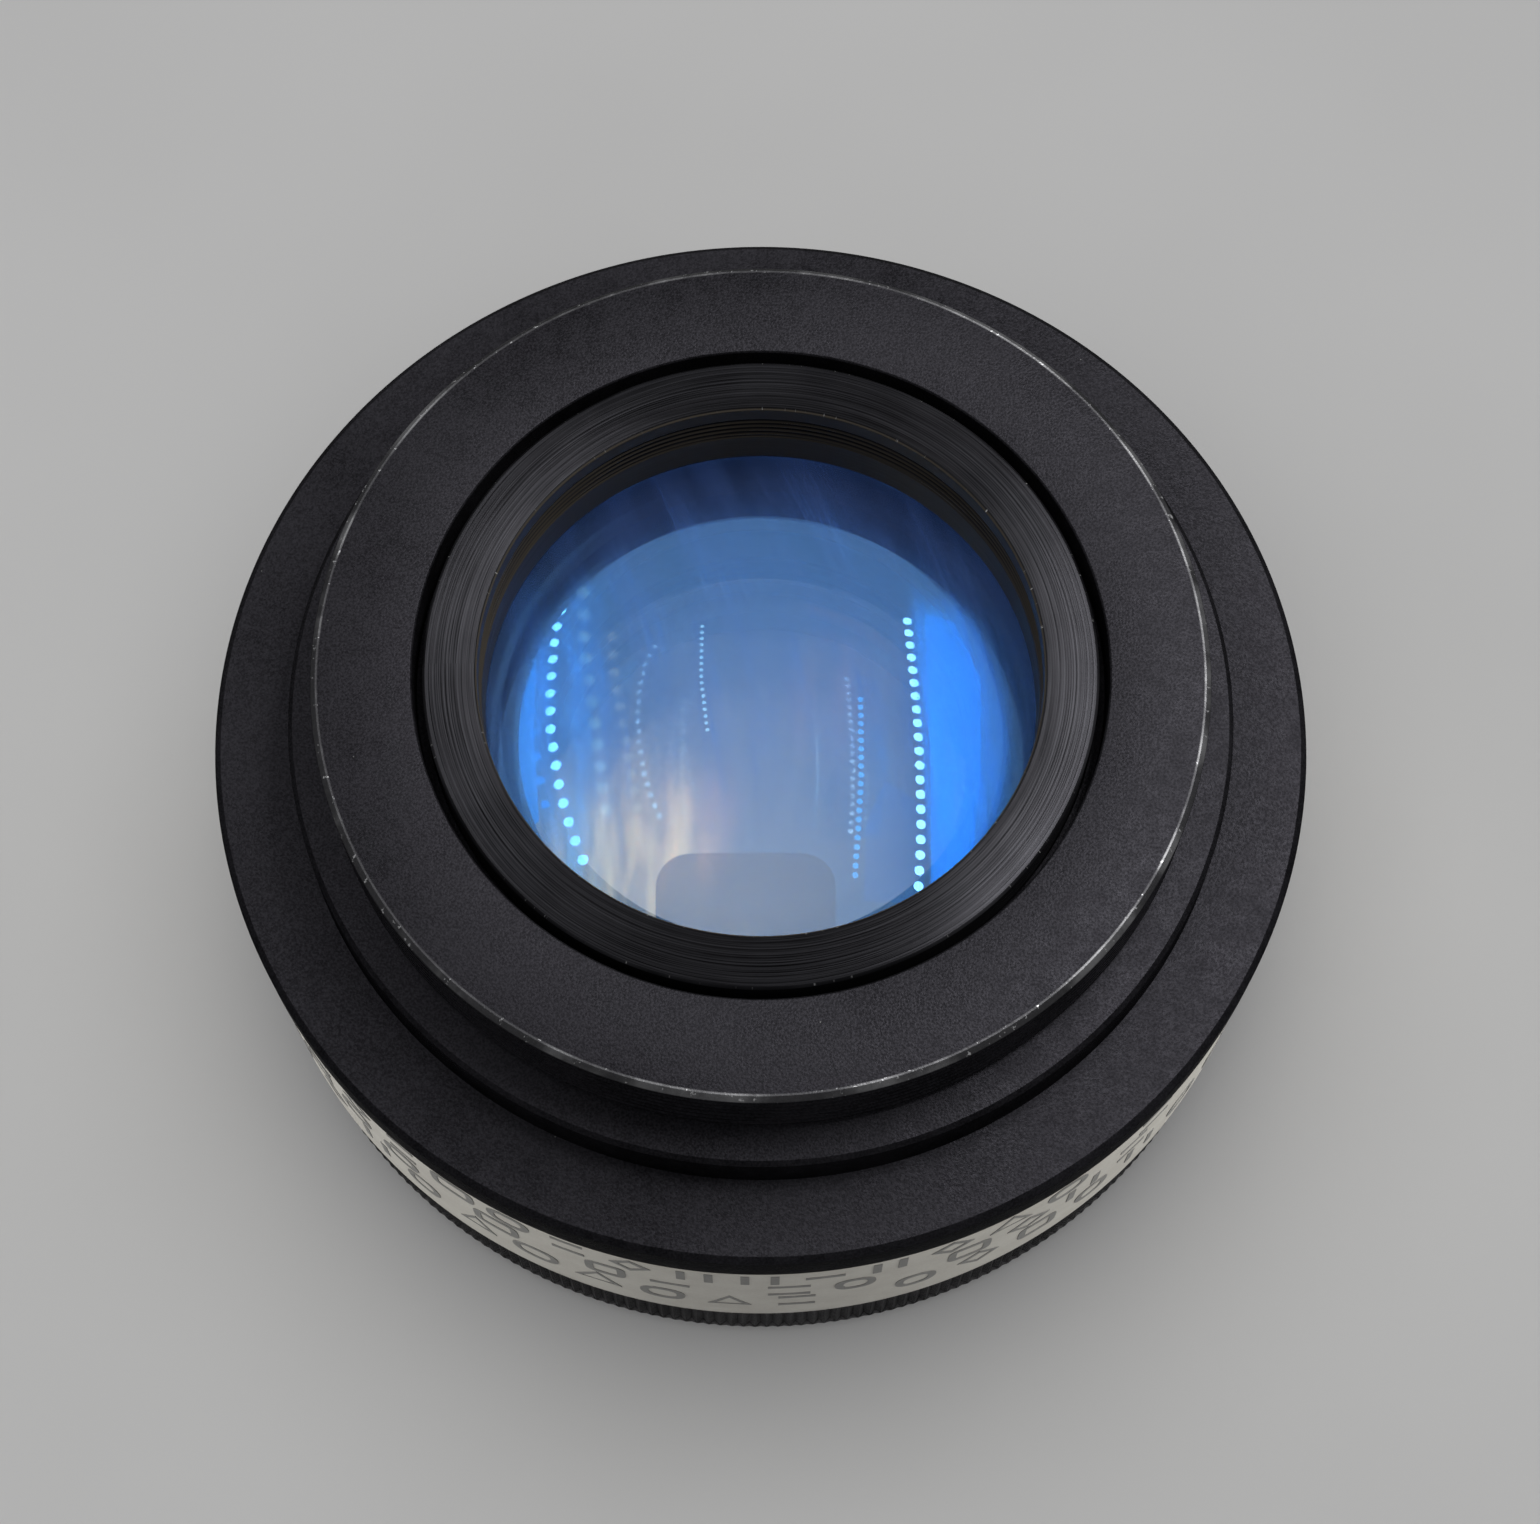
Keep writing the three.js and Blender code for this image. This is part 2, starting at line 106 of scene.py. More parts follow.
def filleted(points, radius=0.06, steps=3, radii=None):
    """Rounds every corner of a closed profile. radii gives one corner its own radius."""
    pts = [np.array(p, float) for p in points]
    out = []
    n = len(pts)
    for i, p in enumerate(pts):
        r = radius if radii is None or i not in radii else radii[i]
        a, b = pts[i - 1], pts[(i + 1) % n]
        u, v = a - p, b - p
        lu, lv = np.linalg.norm(u), np.linalg.norm(v)
        u, v = u / lu, v / lv
        cos = float(np.clip(u @ v, -1, 1))
        ang = math.acos(cos)
        if r <= 0 or ang > math.radians(172) or ang < math.radians(8):
            out.append(tuple(p))
            continue
        t = min(r / math.tan(ang / 2), 0.42 * lu, 0.42 * lv)
        rr = t * math.tan(ang / 2)
        mid = (u + v) / np.linalg.norm(u + v)
        c = p + mid * rr / math.sin(ang / 2)
        s, e = p + u * t - c, p + v * t - c
        a0, a1 = math.atan2(s[1], s[0]), math.atan2(e[1], e[0])
        d = (a1 - a0 + math.pi) % TAU - math.pi
        for k in range(steps + 1):
            w = a0 + d * k / steps
            out.append((c[0] + rr * math.cos(w), c[1] + rr * math.sin(w)))
    return out


def lathe(name, profile, seg=256, shape=None, sharp=38.0):
    """Turns a profile of (radius, height). It closes on itself, or starts and ends on the axis.
    shape(angle, r, z) may return another radius."""
    on_axis = abs(profile[0][0]) < 1e-9
    n = len(profile)
    verts, faces = [], []
    index = np.zeros((seg, n), int)
    for j, (r, z) in enumerate(profile):
        if on_axis and j in (0, n - 1):
            index[:, j] = len(verts)
            verts.append((0.0, 0.0, z))
            continue
        for i in range(seg):
            a = TAU * i / seg
            rr = shape(a, r, z) if shape else r
            index[i, j] = len(verts)
            verts.append((rr * math.cos(a), rr * math.sin(a), z))
    last = n - 1 if on_axis else n
    for i in range(seg):
        k = (i + 1) % seg
        for j in range(last):
            m = (j + 1) % n
            q = [int(index[i, j]), int(index[k, j]), int(index[k, m]), int(index[i, m])]
            q = [v for t, v in enumerate(q) if v not in q[:t]]
            if len(q) > 2:
                faces.append(q)
    return finish_mesh(name, verts, faces, sharp)


def prism(name, outline, z0, z1, bevel=0.0, sharp=38.0):
    """An upright prism over a closed outline, its top and bottom edges broken by a small bevel."""
    pts = [np.array(p, float) for p in outline]
    n = len(pts)
    area = sum(pts[i][0] * pts[(i + 1) % n][1] - pts[(i + 1) % n][0] * pts[i][1] for i in range(n))
    if area < 0:
        pts.reverse()
    def inset(d):
        out = []
        for i, p in enumerate(pts):
            a = pts[i] - pts[i - 1]
            b = pts[(i + 1) % n] - pts[i]
            a, b = a / max(np.linalg.norm(a), 1e-9), b / max(np.linalg.norm(b), 1e-9)
            na, nb = np.array([-a[1], a[0]]), np.array([-b[1], b[0]])
            m = na + nb
            m = m / max(np.linalg.norm(m), 1e-9)
            out.append(p + m * d / max(float(m @ na), 0.5))
        return out
    rings = [(inset(bevel), z0), (pts, z0 + bevel), (pts, z1 - bevel), (inset(bevel), z1)] if bevel else [(pts, z0), (pts, z1)]
    verts = [(p[0], p[1], z) for ring, z in rings for p in ring]
    faces = []
    for k in range(len(rings) - 1):
        for i in range(n):
            j = (i + 1) % n
            faces.append([k * n + i, k * n + j, (k + 1) * n + j, (k + 1) * n + i])
    faces.append(list(range(n - 1, -1, -1)))
    faces.append([(len(rings) - 1) * n + i for i in range(n)])
    return finish_mesh(name, verts, faces, sharp)


def join_in(target, tool, mode):
    """Boolean of tool into target, applied, with tool removed."""
    mod = target.modifiers.new("cut", "BOOLEAN")
    mod.operation = mode
    mod.object = tool
    mod.solver = "EXACT"
    bpy.context.view_layer.update()
    dg = bpy.context.evaluated_depsgraph_get()
    me = bpy.data.meshes.new_from_object(target.evaluated_get(dg))
    target.modifiers.clear()
    old = target.data
    target.data = me
    bpy.data.meshes.remove(old)
    bpy.data.objects.remove(tool)
    me.shade_smooth()
    me.set_sharp_from_angle(angle=math.radians(38))
    return target


def bar(name, r, z0, z1, x=0.0, y=0.0, seg=32, bevel=0.0):
    prof = [(0, z0), (r - bevel, z0), (r, z0 + bevel), (r, z1 - bevel), (r - bevel, z1), (0, z1)] if bevel else [(0, z0), (r, z0), (r, z1), (0, z1)]
    ob = lathe(name, prof, seg)
    ob.data.transform(Matrix.Translation((x * MM, y * MM, 0)))
    return ob


def spoke(name, r, r0, r1, z, angle, seg=32, bevel=0.0):
    ob = bar(name, r, r0, r1, seg=seg, bevel=bevel)
    ob.data.transform(Matrix.Rotation(math.pi / 2, 4, "Y"))
    ob.data.transform(Matrix.Translation((0, 0, z * MM)))
    ob.data.transform(Matrix.Rotation(math.radians(angle), 4, "Z"))
    return ob


# -------------------------------------------------------- material helpers
class Nodes:
    """Short ways to write a node tree. Lengths in the tree are millimetres in the object's frame."""

    def __init__(self, name):
        self.mat = bpy.data.materials.new(name)
        self.mat.use_nodes = True
        self.t = self.mat.node_tree
        self.t.nodes.clear()
        self.out = self.t.nodes.new("ShaderNodeOutputMaterial")
        self.p = self.t.nodes.new("ShaderNodeBsdfPrincipled")
        self.t.links.new(self.p.outputs[0], self.out.inputs["Surface"])
        tc = self.t.nodes.new("ShaderNodeTexCoord")
        scale = self.t.nodes.new("ShaderNodeVectorMath")
        scale.operation = "SCALE"
        scale.inputs["Scale"].default_value = 1000.0
        self.t.links.new(tc.outputs["Object"], scale.inputs[0])
        self.pos = scale.outputs["Vector"]
        sep = self.t.nodes.new("ShaderNodeSeparateXYZ")
        self.t.links.new(self.pos, sep.inputs[0])
        self.x, self.y, self.z = sep.outputs
        self.r = self.math("SQRT", self.math("ADD", self.math("MULTIPLY", self.x, self.x), self.math("MULTIPLY", self.y, self.y)))
        self.a = self.math("ARCTAN2", self.y, self.x)

    def link(self, a, b):
        self.t.links.new(a, b)

    def put(self, socket, value):
        if isinstance(value, bpy.types.NodeSocket):
            self.t.links.new(value, socket)
        else:
            socket.default_value = value

    def math(self, op, a, b=None, c=None, clamp=False):
        n = self.t.nodes.new("ShaderNodeMath")
        n.operation = op
        n.use_clamp = clamp
        for i, v in enumerate((a, b, c)):
            if v is not None:
                self.put(n.inputs[i], v)
        return n.outputs[0]

    def vec(self, x, y, z):
        n = self.t.nodes.new("ShaderNodeCombineXYZ")
        for i, v in enumerate((x, y, z)):
            self.put(n.inputs[i], v)
        return n.outputs[0]

    def noise(self, vector, scale, detail=2.0, rough=0.5, dim="3D", w=None):
        n = self.t.nodes.new("ShaderNodeTexNoise")
        n.noise_dimensions = dim
        if dim == "1D":
            self.put(n.inputs["W"], w)
        else:
            self.put(n.inputs["Vector"], vector)
        n.inputs["Scale"].default_value = scale
        n.inputs["Detail"].default_value = detail
        n.inputs["Roughness"].default_value = rough
        return n.outputs[0]

    def voronoi(self, vector, scale, feature="F1", randomness=1.0):
        n = self.t.nodes.new("ShaderNodeTexVoronoi")
        n.feature = feature
        self.put(n.inputs["Vector"], vector)
        n.inputs["Scale"].default_value = scale
        n.inputs["Randomness"].default_value = randomness
        return n

    def ramp(self, value, lo, hi, a=0.0, b=1.0, smooth=True):
        n = self.t.nodes.new("ShaderNodeMapRange")
        n.interpolation_type = "SMOOTHSTEP" if smooth else "LINEAR"
        self.put(n.inputs["Value"], value)
        n.inputs["From Min"].default_value = lo
        n.inputs["From Max"].default_value = hi
        n.inputs["To Min"].default_value = a
        n.inputs["To Max"].default_value = b
        return n.outputs[0]

    def mix(self, fac, a, b):
        n = self.t.nodes.new("ShaderNodeMix")
        n.data_type = "RGBA"
        self.put(n.inputs[0], fac)
        self.put(n.inputs[6], a if isinstance(a, bpy.types.NodeSocket) else (*a, 1.0))
        self.put(n.inputs[7], b if isinstance(b, bpy.types.NodeSocket) else (*b, 1.0))
        return n.outputs[2]

    def bump(self, height, distance, strength=1.0, normal=None):
        n = self.t.nodes.new("ShaderNodeBump")
        n.inputs["Strength"].default_value = strength
        n.inputs["Distance"].default_value = distance * MM
        self.put(n.inputs["Height"], height)
        if normal is not None:
            self.put(n.inputs["Normal"], normal)
        return n.outputs[0]

    def band(self, value, centre, half, soft):
        """1 where value is within half of centre, falling to 0 over soft."""
        d = self.math("ABSOLUTE", self.math("SUBTRACT", value, centre))
        return self.ramp(d, half, half + soft, 1.0, 0.0)

    def specks(self, scale, size, share, seed=0.0):
        """Sparse small specks: scale cells per mm, size in mm, share of cells that hold one."""
        moved = self.t.nodes.new("ShaderNodeVectorMath")
        moved.operation = "ADD"
        self.link(self.pos, moved.inputs[0])
        moved.inputs[1].default_value = (seed, seed * 1.7, seed * 0.6)
        v = self.voronoi(moved.outputs[0], scale)
        near = self.ramp(v.outputs["Distance"], size * scale * 0.6, size * scale, 1.0, 0.0)
        sep = self.t.nodes.new("ShaderNodeSeparateColor")
        self.link(v.outputs["Color"], sep.inputs[0])
        chosen = self.math("LESS_THAN", sep.outputs[0], share)
        return self.math("MULTIPLY", near, chosen)


def anodised(name, base=(0.0200, 0.0193, 0.0224), rough=0.50, grain=1.0, worn=None, dust=0.05):
    """Satin black anodised aluminium with a fine blasted grain, faint handling marks and dust."""
    n = Nodes(name)
    fine = n.noise(n.pos, 7.5, 2.0, 0.6)
    mid = n.noise(n.pos, 0.9, 3.0, 0.55)
    wide = n.noise(n.pos, 0.11, 3.0, 0.6)
    tone = n.math("ADD", n.ramp(fine, 0.3, 0.7, -0.32, 0.32), n.ramp(wide, 0.3, 0.7, -0.16, 0.16))
    tone = n.math("ADD", n.math("ADD", tone, n.ramp(mid, 0.35, 0.65, -0.08, 0.08)), 1.0)
    sc = n.t.nodes.new("ShaderNodeVectorMath")
    sc.operation = "SCALE"
    sc.inputs[0].default_value = base
    n.link(tone, sc.inputs["Scale"])
    colour = sc.outputs[0]
    roughness = n.math("ADD", n.ramp(mid, 0.3, 0.7, rough - 0.05, rough + 0.05), n.ramp(wide, 0.35, 0.65, -0.04, 0.04))
    metal = 0.84
    if dust:
        d = n.specks(0.42, 0.10, dust, 3.1)
        d2 = n.specks(1.1, 0.045, dust * 1.2, 8.7)
        d = n.math("MAXIMUM", d, d2)
        colour = n.mix(n.math("MULTIPLY", d, 0.6), colour, (0.30, 0.30, 0.29))
        roughness = n.math("ADD", roughness, n.math("MULTIPLY", d, 0.3))
    if worn:
        mask = worn(n)
        colour = n.mix(mask, colour, (0.62, 0.62, 0.63))
        roughness = n.math("SUBTRACT", roughness, n.math("MULTIPLY", mask, 0.12))
        metal = n.math("MAXIMUM", n.math("MULTIPLY", mask, 0.9), 0.84)
    n.put(n.p.inputs["Base Color"], colour)
    n.put(n.p.inputs["Roughness"], roughness)
    n.put(n.p.inputs["Metallic"], metal)
    n.p.inputs["Specular IOR Level"].default_value = 0.2
    n.p.inputs["Specular Tint"].default_value = (0.12, 0.12, 0.12, 1.0)
    n.put(n.p.inputs["Normal"], n.bump(n.math("ADD", fine, n.math("MULTIPLY", mid, 0.4)), 0.030 * grain, 0.7))
    return n.mat


def turned(name, base, rough, aniso=0.7, lines=9.0, metal=0.85, worn=None, depth=0.006, contrast=0.45, bore=None):
    """Metal faced on a lathe: fine concentric lines, with the stretched highlight they give."""
    n = Nodes(name)
    wob = n.math("MULTIPLY", n.noise(n.pos, 0.25, 2.0), 0.05)
    u = n.math("ADD", n.math("ADD", n.r, n.math("MULTIPLY", n.z, 1.0)), wob)
    l1 = n.noise(None, lines, 3.0, 0.65, "1D", u)
    arcs = n.vec(n.math("MULTIPLY", u, 14.0), n.math("MULTIPLY", n.a, 2.2), 0.0)
    l2 = n.noise(arcs, 1.0, 3.0, 0.6)
    wide = n.noise(n.pos, 0.16, 3.0, 0.6)
    tone = n.math("ADD", n.ramp(l1, 0.3, 0.7, 1 - contrast, 1 + contrast), n.ramp(l2, 0.35, 0.7, -contrast * 0.6, contrast * 0.9))
    tone = n.math("ADD", tone, n.ramp(wide, 0.3, 0.7, -0.15, 0.15))
    sc = n.t.nodes.new("ShaderNodeVectorMath")
    sc.operation = "SCALE"
    sc.inputs[0].default_value = base
    n.link(tone, sc.inputs["Scale"])
    colour = sc.outputs[0]
    roughness = n.ramp(l2, 0.3, 0.7, rough - 0.06, rough + 0.07)
    metallic = metal
    if bore:
        inside = n.ramp(n.r, bore, bore + 0.06, 1.0, 0.0)
        colour = n.mix(inside, colour, (0.050, 0.043, 0.034))
        metallic = n.math("MULTIPLY", n.ramp(inside, 0.0, 1.0, 1.0, 0.25), metal)
    if worn:
        mask = worn(n)
        colour = n.mix(mask, colour, (0.6, 0.6, 0.6))
        metallic = n.math("MAXIMUM", n.math("MULTIPLY", mask, 0.95), metallic)
    d = n.specks(0.6, 0.07, 0.05, 5.3)
    colour = n.mix(n.math("MULTIPLY", d, 0.6), colour, (0.4, 0.4, 0.38))
    n.put(n.p.inputs["Base Color"], colour)
    n.put(n.p.inputs["Roughness"], roughness)
    n.put(n.p.inputs["Metallic"], metallic)
    n.p.inputs["Anisotropic"].default_value = aniso
    n.p.inputs["Anisotropic Rotation"].default_value = 0.25
    n.p.inputs["Specular IOR Level"].default_value = 0.2
    n.p.inputs["Specular Tint"].default_value = (0.12, 0.12, 0.12, 1.0)
    tan = n.t.nodes.new("ShaderNodeTangent")
    tan.direction_type = "RADIAL"
    tan.axis = "Z"
    n.link(tan.outputs[0], n.p.inputs["Tangent"])
    n.put(n.p.inputs["Normal"], n.bump(n.math("ADD", l1, n.math("MULTIPLY", l2, 0.6)), depth, 0.8))
    return n.mat


def plain_metal(name, base, rough, metal=1.0, scale=3.0):
    """Rolled or ground metal with faint variation."""
    n = Nodes(name)
    a = n.noise(n.pos, scale, 3.0, 0.6)
    b = n.noise(n.pos, scale * 6, 2.0, 0.5)
    colour = n.mix(n.ramp(a, 0.3, 0.7), tuple(c * 0.8 for c in base), tuple(min(c * 1.15, 1) for c in base))
    n.put(n.p.inputs["Base Color"], colour)
    n.put(n.p.inputs["Roughness"], n.ramp(b, 0.3, 0.7, rough - 0.05, rough + 0.08))
    n.p.inputs["Metallic"].default_value = metal
    n.put(n.p.inputs["Normal"], n.bump(b, 0.004, 0.5))
    return n.mat


def glass(name, tint, mirror, mirror_colour, film=0.0, through=(1.0, 0.995, 0.98)):
    """Coated glass: it refracts, and its coating mirrors a colour. Lamps shine through it, so that what lies behind is lit."""
    n = Nodes(name)
    n.t.nodes.remove(n.p)
    g = n.t.nodes.new("ShaderNodeBsdfGlass")
    g.inputs["Color"].default_value = (*tint, 1.0)
    g.inputs["IOR"].default_value = 1.5
    g.inputs["Roughness"].default_value = 0.0
    m = n.t.nodes.new("ShaderNodeBsdfGlossy")
    m.inputs["Color"].default_value = (*mirror_colour, 1.0)
    m.inputs["Roughness"].default_value = 0.012
    lw = n.t.nodes.new("ShaderNodeLayerWeight")
    lw.inputs["Blend"].default_value = 0.35
    fac = n.ramp(lw.outputs["Facing"], 0.0, 1.0, mirror, min(mirror * 2.2, 0.9))
    mixed = n.t.nodes.new("ShaderNodeMixShader")
    n.put(mixed.inputs[0], fac)
    n.link(g.outputs[0], mixed.inputs[1])
    n.link(m.outputs[0], mixed.inputs[2])
    last = mixed.outputs[0]
    if film:
        # a wiped film of grease: fine curved streaks, thickest in two patches either side
        soft = n.t.nodes.new("ShaderNodeBsdfGlossy")
        soft.inputs["Color"].default_value = (0.08, 0.36, 1.0, 1.0)
        soft.inputs["Roughness"].default_value = 0.24
        bend = n.math("ADD", n.x, n.math("MULTIPLY", n.math("MULTIPLY", n.y, n.y), 0.010))
        bend = n.math("ADD", bend, n.math("MULTIPLY", n.y, 0.16))
        fine = n.noise(n.vec(n.math("MULTIPLY", bend, 3.2), n.math("MULTIPLY", n.y, 0.13), 0.0), 1.0, 5.0, 0.68)
        broad = n.noise(n.vec(n.math("MULTIPLY", bend, 0.50), n.math("MULTIPLY", n.y, 0.09), 4.0), 1.0, 3.0, 0.6)
        ruff = n.noise(n.vec(n.math("MULTIPLY", n.math("ADD", n.x, n.y), 1.1), n.math("MULTIPLY", n.math("SUBTRACT", n.y, n.x), 0.5), 9.0), 1.0, 5.0, 0.7)
        dx = n.math("SUBTRACT", n.x, n.math("ADD", 10.3, n.math("MULTIPLY", n.y, -0.06)))
        right = n.math("MULTIPLY", n.ramp(dx, -1.7, -0.7), n.ramp(dx, 0.6, 5.2, 1.0, 0.25))
        right = n.math("MULTIPLY", right, n.ramp(n.math("ADD", n.y, n.math("MULTIPLY", ruff, 3.0)), 6.2, 9.0, 1.0, 0.06))
        ex = n.math("SUBTRACT", n.x, -11.6)
        left = n.math("MULTIPLY", n.ramp(n.math("ABSOLUTE", ex), 0.6, 4.2, 1.0, 0.0), n.ramp(n.y, 6.0, 10.5, 1.0, 0.15))
        amount = n.math("ADD", n.math("MULTIPLY", right, n.ramp(fine, 0.30, 0.62, 0.45, 1.0)), n.math("MULTIPLY", left, n.ramp(broad, 0.32, 0.66, 0.22, 0.85)))
        faint = n.math("MULTIPLY", n.ramp(fine, 0.46, 0.76), n.ramp(broad, 0.44, 0.66))
        upper = n.ramp(n.math("ADD", n.y, n.math("MULTIPLY", broad, 6.0)), -9.0, 6.0, 0.12, 1.0)
        wipe = n.noise(n.vec(n.math("MULTIPLY", bend, 5.5), n.math("MULTIPLY", n.y, 0.10), 2.0), 1.0, 3.0, 0.6)
        wipe = n.math("MULTIPLY", n.ramp(wipe, 0.56, 0.68), n.ramp(broad, 0.44, 0.60))
        faint = n.math("ADD", n.math("MULTIPLY", faint, 0.40), n.math("MULTIPLY", wipe, 0.30))
        amount = n.math("ADD", amount, n.math("MULTIPLY", n.math("ADD", faint, 0.09), upper), clamp=True)
        two = n.t.nodes.new("ShaderNodeMixShader")
        n.put(two.inputs[0], n.math("MULTIPLY", amount, film))
        n.link(last, two.inputs[1])
        n.link(soft.outputs[0], two.inputs[2])
        last = two.outputs[0]
        # painted reflection: a blue diffuse layer, strongest on the upper part of the glass, stands in for blue light
        # that the coating reflects
        painted_blue_reflection = n.t.nodes.new("ShaderNodeBsdfDiffuse")
        painted_blue_reflection.inputs["Color"].default_value = (0.17, 0.34, 1.0, 1.0)
        three = n.t.nodes.new("ShaderNodeMixShader")
        n.put(three.inputs[0], n.math("MULTIPLY", n.ramp(broad, 0.3, 0.7, 0.065, 0.135), upper))
        n.link(last, three.inputs[1])
        n.link(painted_blue_reflection.outputs[0], three.inputs[2])
        last = three.outputs[0]
    clear = n.t.nodes.new("ShaderNodeBsdfTransparent")
    clear.inputs["Color"].default_value = (*through, 1.0)
    path = n.t.nodes.new("ShaderNodeLightPath")
    shade = n.t.nodes.new("ShaderNodeMixShader")
    n.link(path.outputs["Is Shadow Ray"], shade.inputs[0])
    n.link(last, shade.inputs[1])
    n.link(clear.outputs[0], shade.inputs[2])
    n.link(shade.outputs[0], n.out.inputs["Surface"])
    return n.mat


def paint(ob, mat):
    ob.data.materials.clear()
    ob.data.materials.append(mat)


def piece(ob, mat, body, slot, *nodes):
    paint(ob, mat)
    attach(ob, body)
    if nodes:
        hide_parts(*nodes)
    return ob


# --------------------------------------------------------------- materials
def spigot_wear(n):
    """Anodising worn through along the rear outer edge, with a few nicks."""
    edge = n.band(n.math("SUBTRACT", n.r, n.math("SUBTRACT", 31.9, n.z)), 24.86, 0.10, 0.09)
    edge = n.math("MULTIPLY", edge, n.ramp(n.z, 31.7, 31.78))
    along = n.noise(n.vec(n.math("MULTIPLY", n.x, 0.22), n.math("MULTIPLY", n.y, 0.22), 0.0), 1.0, 4.0, 0.6)
    nick = n.noise(n.vec(n.x, n.y, 2.0), 2.6, 3.0, 0.7)
    return n.math("MULTIPLY", edge, n.math("MAXIMUM", n.ramp(along, 0.44, 0.66, 0.07, 0.30), n.ramp(nick, 0.62, 0.70, 0.0, 0.9)))


M_FLANGE = anodised("black_anodised", worn=spigot_wear)
M_BARREL = anodised("black_anodised_barrel", rough=0.42, dust=0.03)
M_BEZEL = anodised("black_anodised_bezel", rough=0.40, dust=0.02)
M_RING = anodised("ring_anodised", base=(0.110, 0.108, 0.111), rough=0.44, grain=0.6, dust=0.0)
M_MATT = turned("matt_black", (0.0075, 0.0073, 0.0068), 0.62, aniso=0.2, lines=5.0, metal=0.0, depth=0.004, contrast=0.3)
M_BLADE = plain_metal("blade_steel", (0.035, 0.036, 0.040), 0.42, 0.7)
M_STEEL = plain_metal("bright_steel", (0.50, 0.50, 0.51), 0.28)
M_BRONZE = plain_metal("spring_bronze", (0.48, 0.33, 0.15), 0.32)
M_BRASS = turned("turned_brass", (0.50, 0.37, 0.14), 0.35, aniso=0.4, lines=6.0, metal=1.0, contrast=0.15)
M_REAR = glass("rear_coated_glass", (0.96, 0.96, 0.94), 0.105, (0.16, 0.47, 1.0), film=0.55)
M_FRONT = glass("front_coated_glass", (0.97, 0.98, 1.0), 0.055, (0.22, 0.5, 1.0))
M_INNER = glass("inner_coated_glass", (0.950, 0.940, 0.925), 0.02, (0.2, 0.45, 1.0))


# ------------------------------------------------------------ rear mount
def spigot_profile():
    low = [
        (18.85, 19.73), (27.4, 19.73), (27.4, 16.7), (29.45, 16.7), (29.45, 19.73),
        (31.55, 19.73), (31.75, 19.93), (31.75, 22.63), (31.38, 23.0), (27.1, 23.0),
        (27.05, 25.9), (26.78, 26.17), (24.55, 26.17), (24.55, 26.9),
    ]
    top = [
        (25.0, 31.72), (24.70, 32.03), (19.45, 32.03), (19.35, 31.93), (19.35, 29.4), (18.85, 29.4),
    ]
    pts = filleted(low + top, 0.07, 2, {9: 0.04, 11: 0.05, 12: 0.12, 14: 0.03, 15: 0.05})
    # put fine rows on the threaded wall, between the relief groove and the bevel
    i = max(k for k, p in enumerate(pts) if p[1] < 27.2 and p[0] > 24.0 and p[0] < 24.9)
    rows = [(25.0, z) for z in np.arange(27.2, 31.62, 0.0625)]
    return pts[: i + 1] + rows + pts[i + 1:]


def thread(a, r, z):
    """M50 x 0.75, its crests a little blunted."""
    if abs(r - 25.0) > 0.002 or not 27.15 < z < 31.66:
        return r
    u = (z / 0.75 - a / TAU) % 1.0
    tri = 1.0 - abs(2 * u - 1)
    v = min(max((tri - 0.12) / 0.62, 0.0), 1.0)
    fade = min((z - 27.1) / 0.3, (31.7 - z) / 0.12, 1.0)
    return r - 0.34 * (1 - v) * max(fade, 0.0)


flange = lathe("mount_flange_turned", spigot_profile(), 360, thread)
piece(flange, M_FLANGE, "root", "black_anodised", "mount_flange")

# ------------------------------------------------------------- barrel, tape
barrel = lathe("main_barrel_turned", filleted([
    (21.6, 1.7), (23.2, 1.7), (23.2, 0.45), (24.4, 0.45), (24.4, 1.6), (25.0, 1.6), (25.0, 7.35),
    (31.55, 7.35), (31.55, 19.7), (29.5, 19.7), (29.5, 9.6), (25.6, 9.6), (25.6, 19.7),
    (22.4, 19.7), (22.4, 12.5), (21.6, 12.5),
], 0.08, 2), 240)
slot_pts = []
for k in range(33):
    a = math.radians(86.2 + (150 - 86.2 + 3.8) * k / 32)
    slot_pts.append((26 * math.cos(a), 26 * math.sin(a)))
for k in range(32, -1, -1):
    a = math.radians(86.2 + (150 - 86.2 + 3.8) * k / 32)
    slot_pts.append((20.8 * math.cos(a), 20.8 * math.sin(a)))
join_in(barrel, prism("slot_tool", slot_pts, 3.3, 5.5), "DIFFERENCE")
CLICK_A = math.radians(250)
join_in(barrel, bar("ball_tool", 1.21, 6.4, 10.6, 28 * math.cos(CLICK_A), 28 * math.sin(CLICK_A)), "DIFFERENCE")
SCREW_A = math.radians(264)
SX, SY = 27.65 * math.cos(SCREW_A), 27.65 * math.sin(SCREW_A)
join_in(barrel, bar("screw_tool", 0.55, 8.0, 10.6, SX, SY), "DIFFERENCE")
piece(barrel, M_BARREL, "root", "black_anodised", "main_barrel")

A0, A1 = math.radians(162), math.radians(378)


def around(a, r, z):
    return (r * math.cos(a), r * math.sin(a), z)


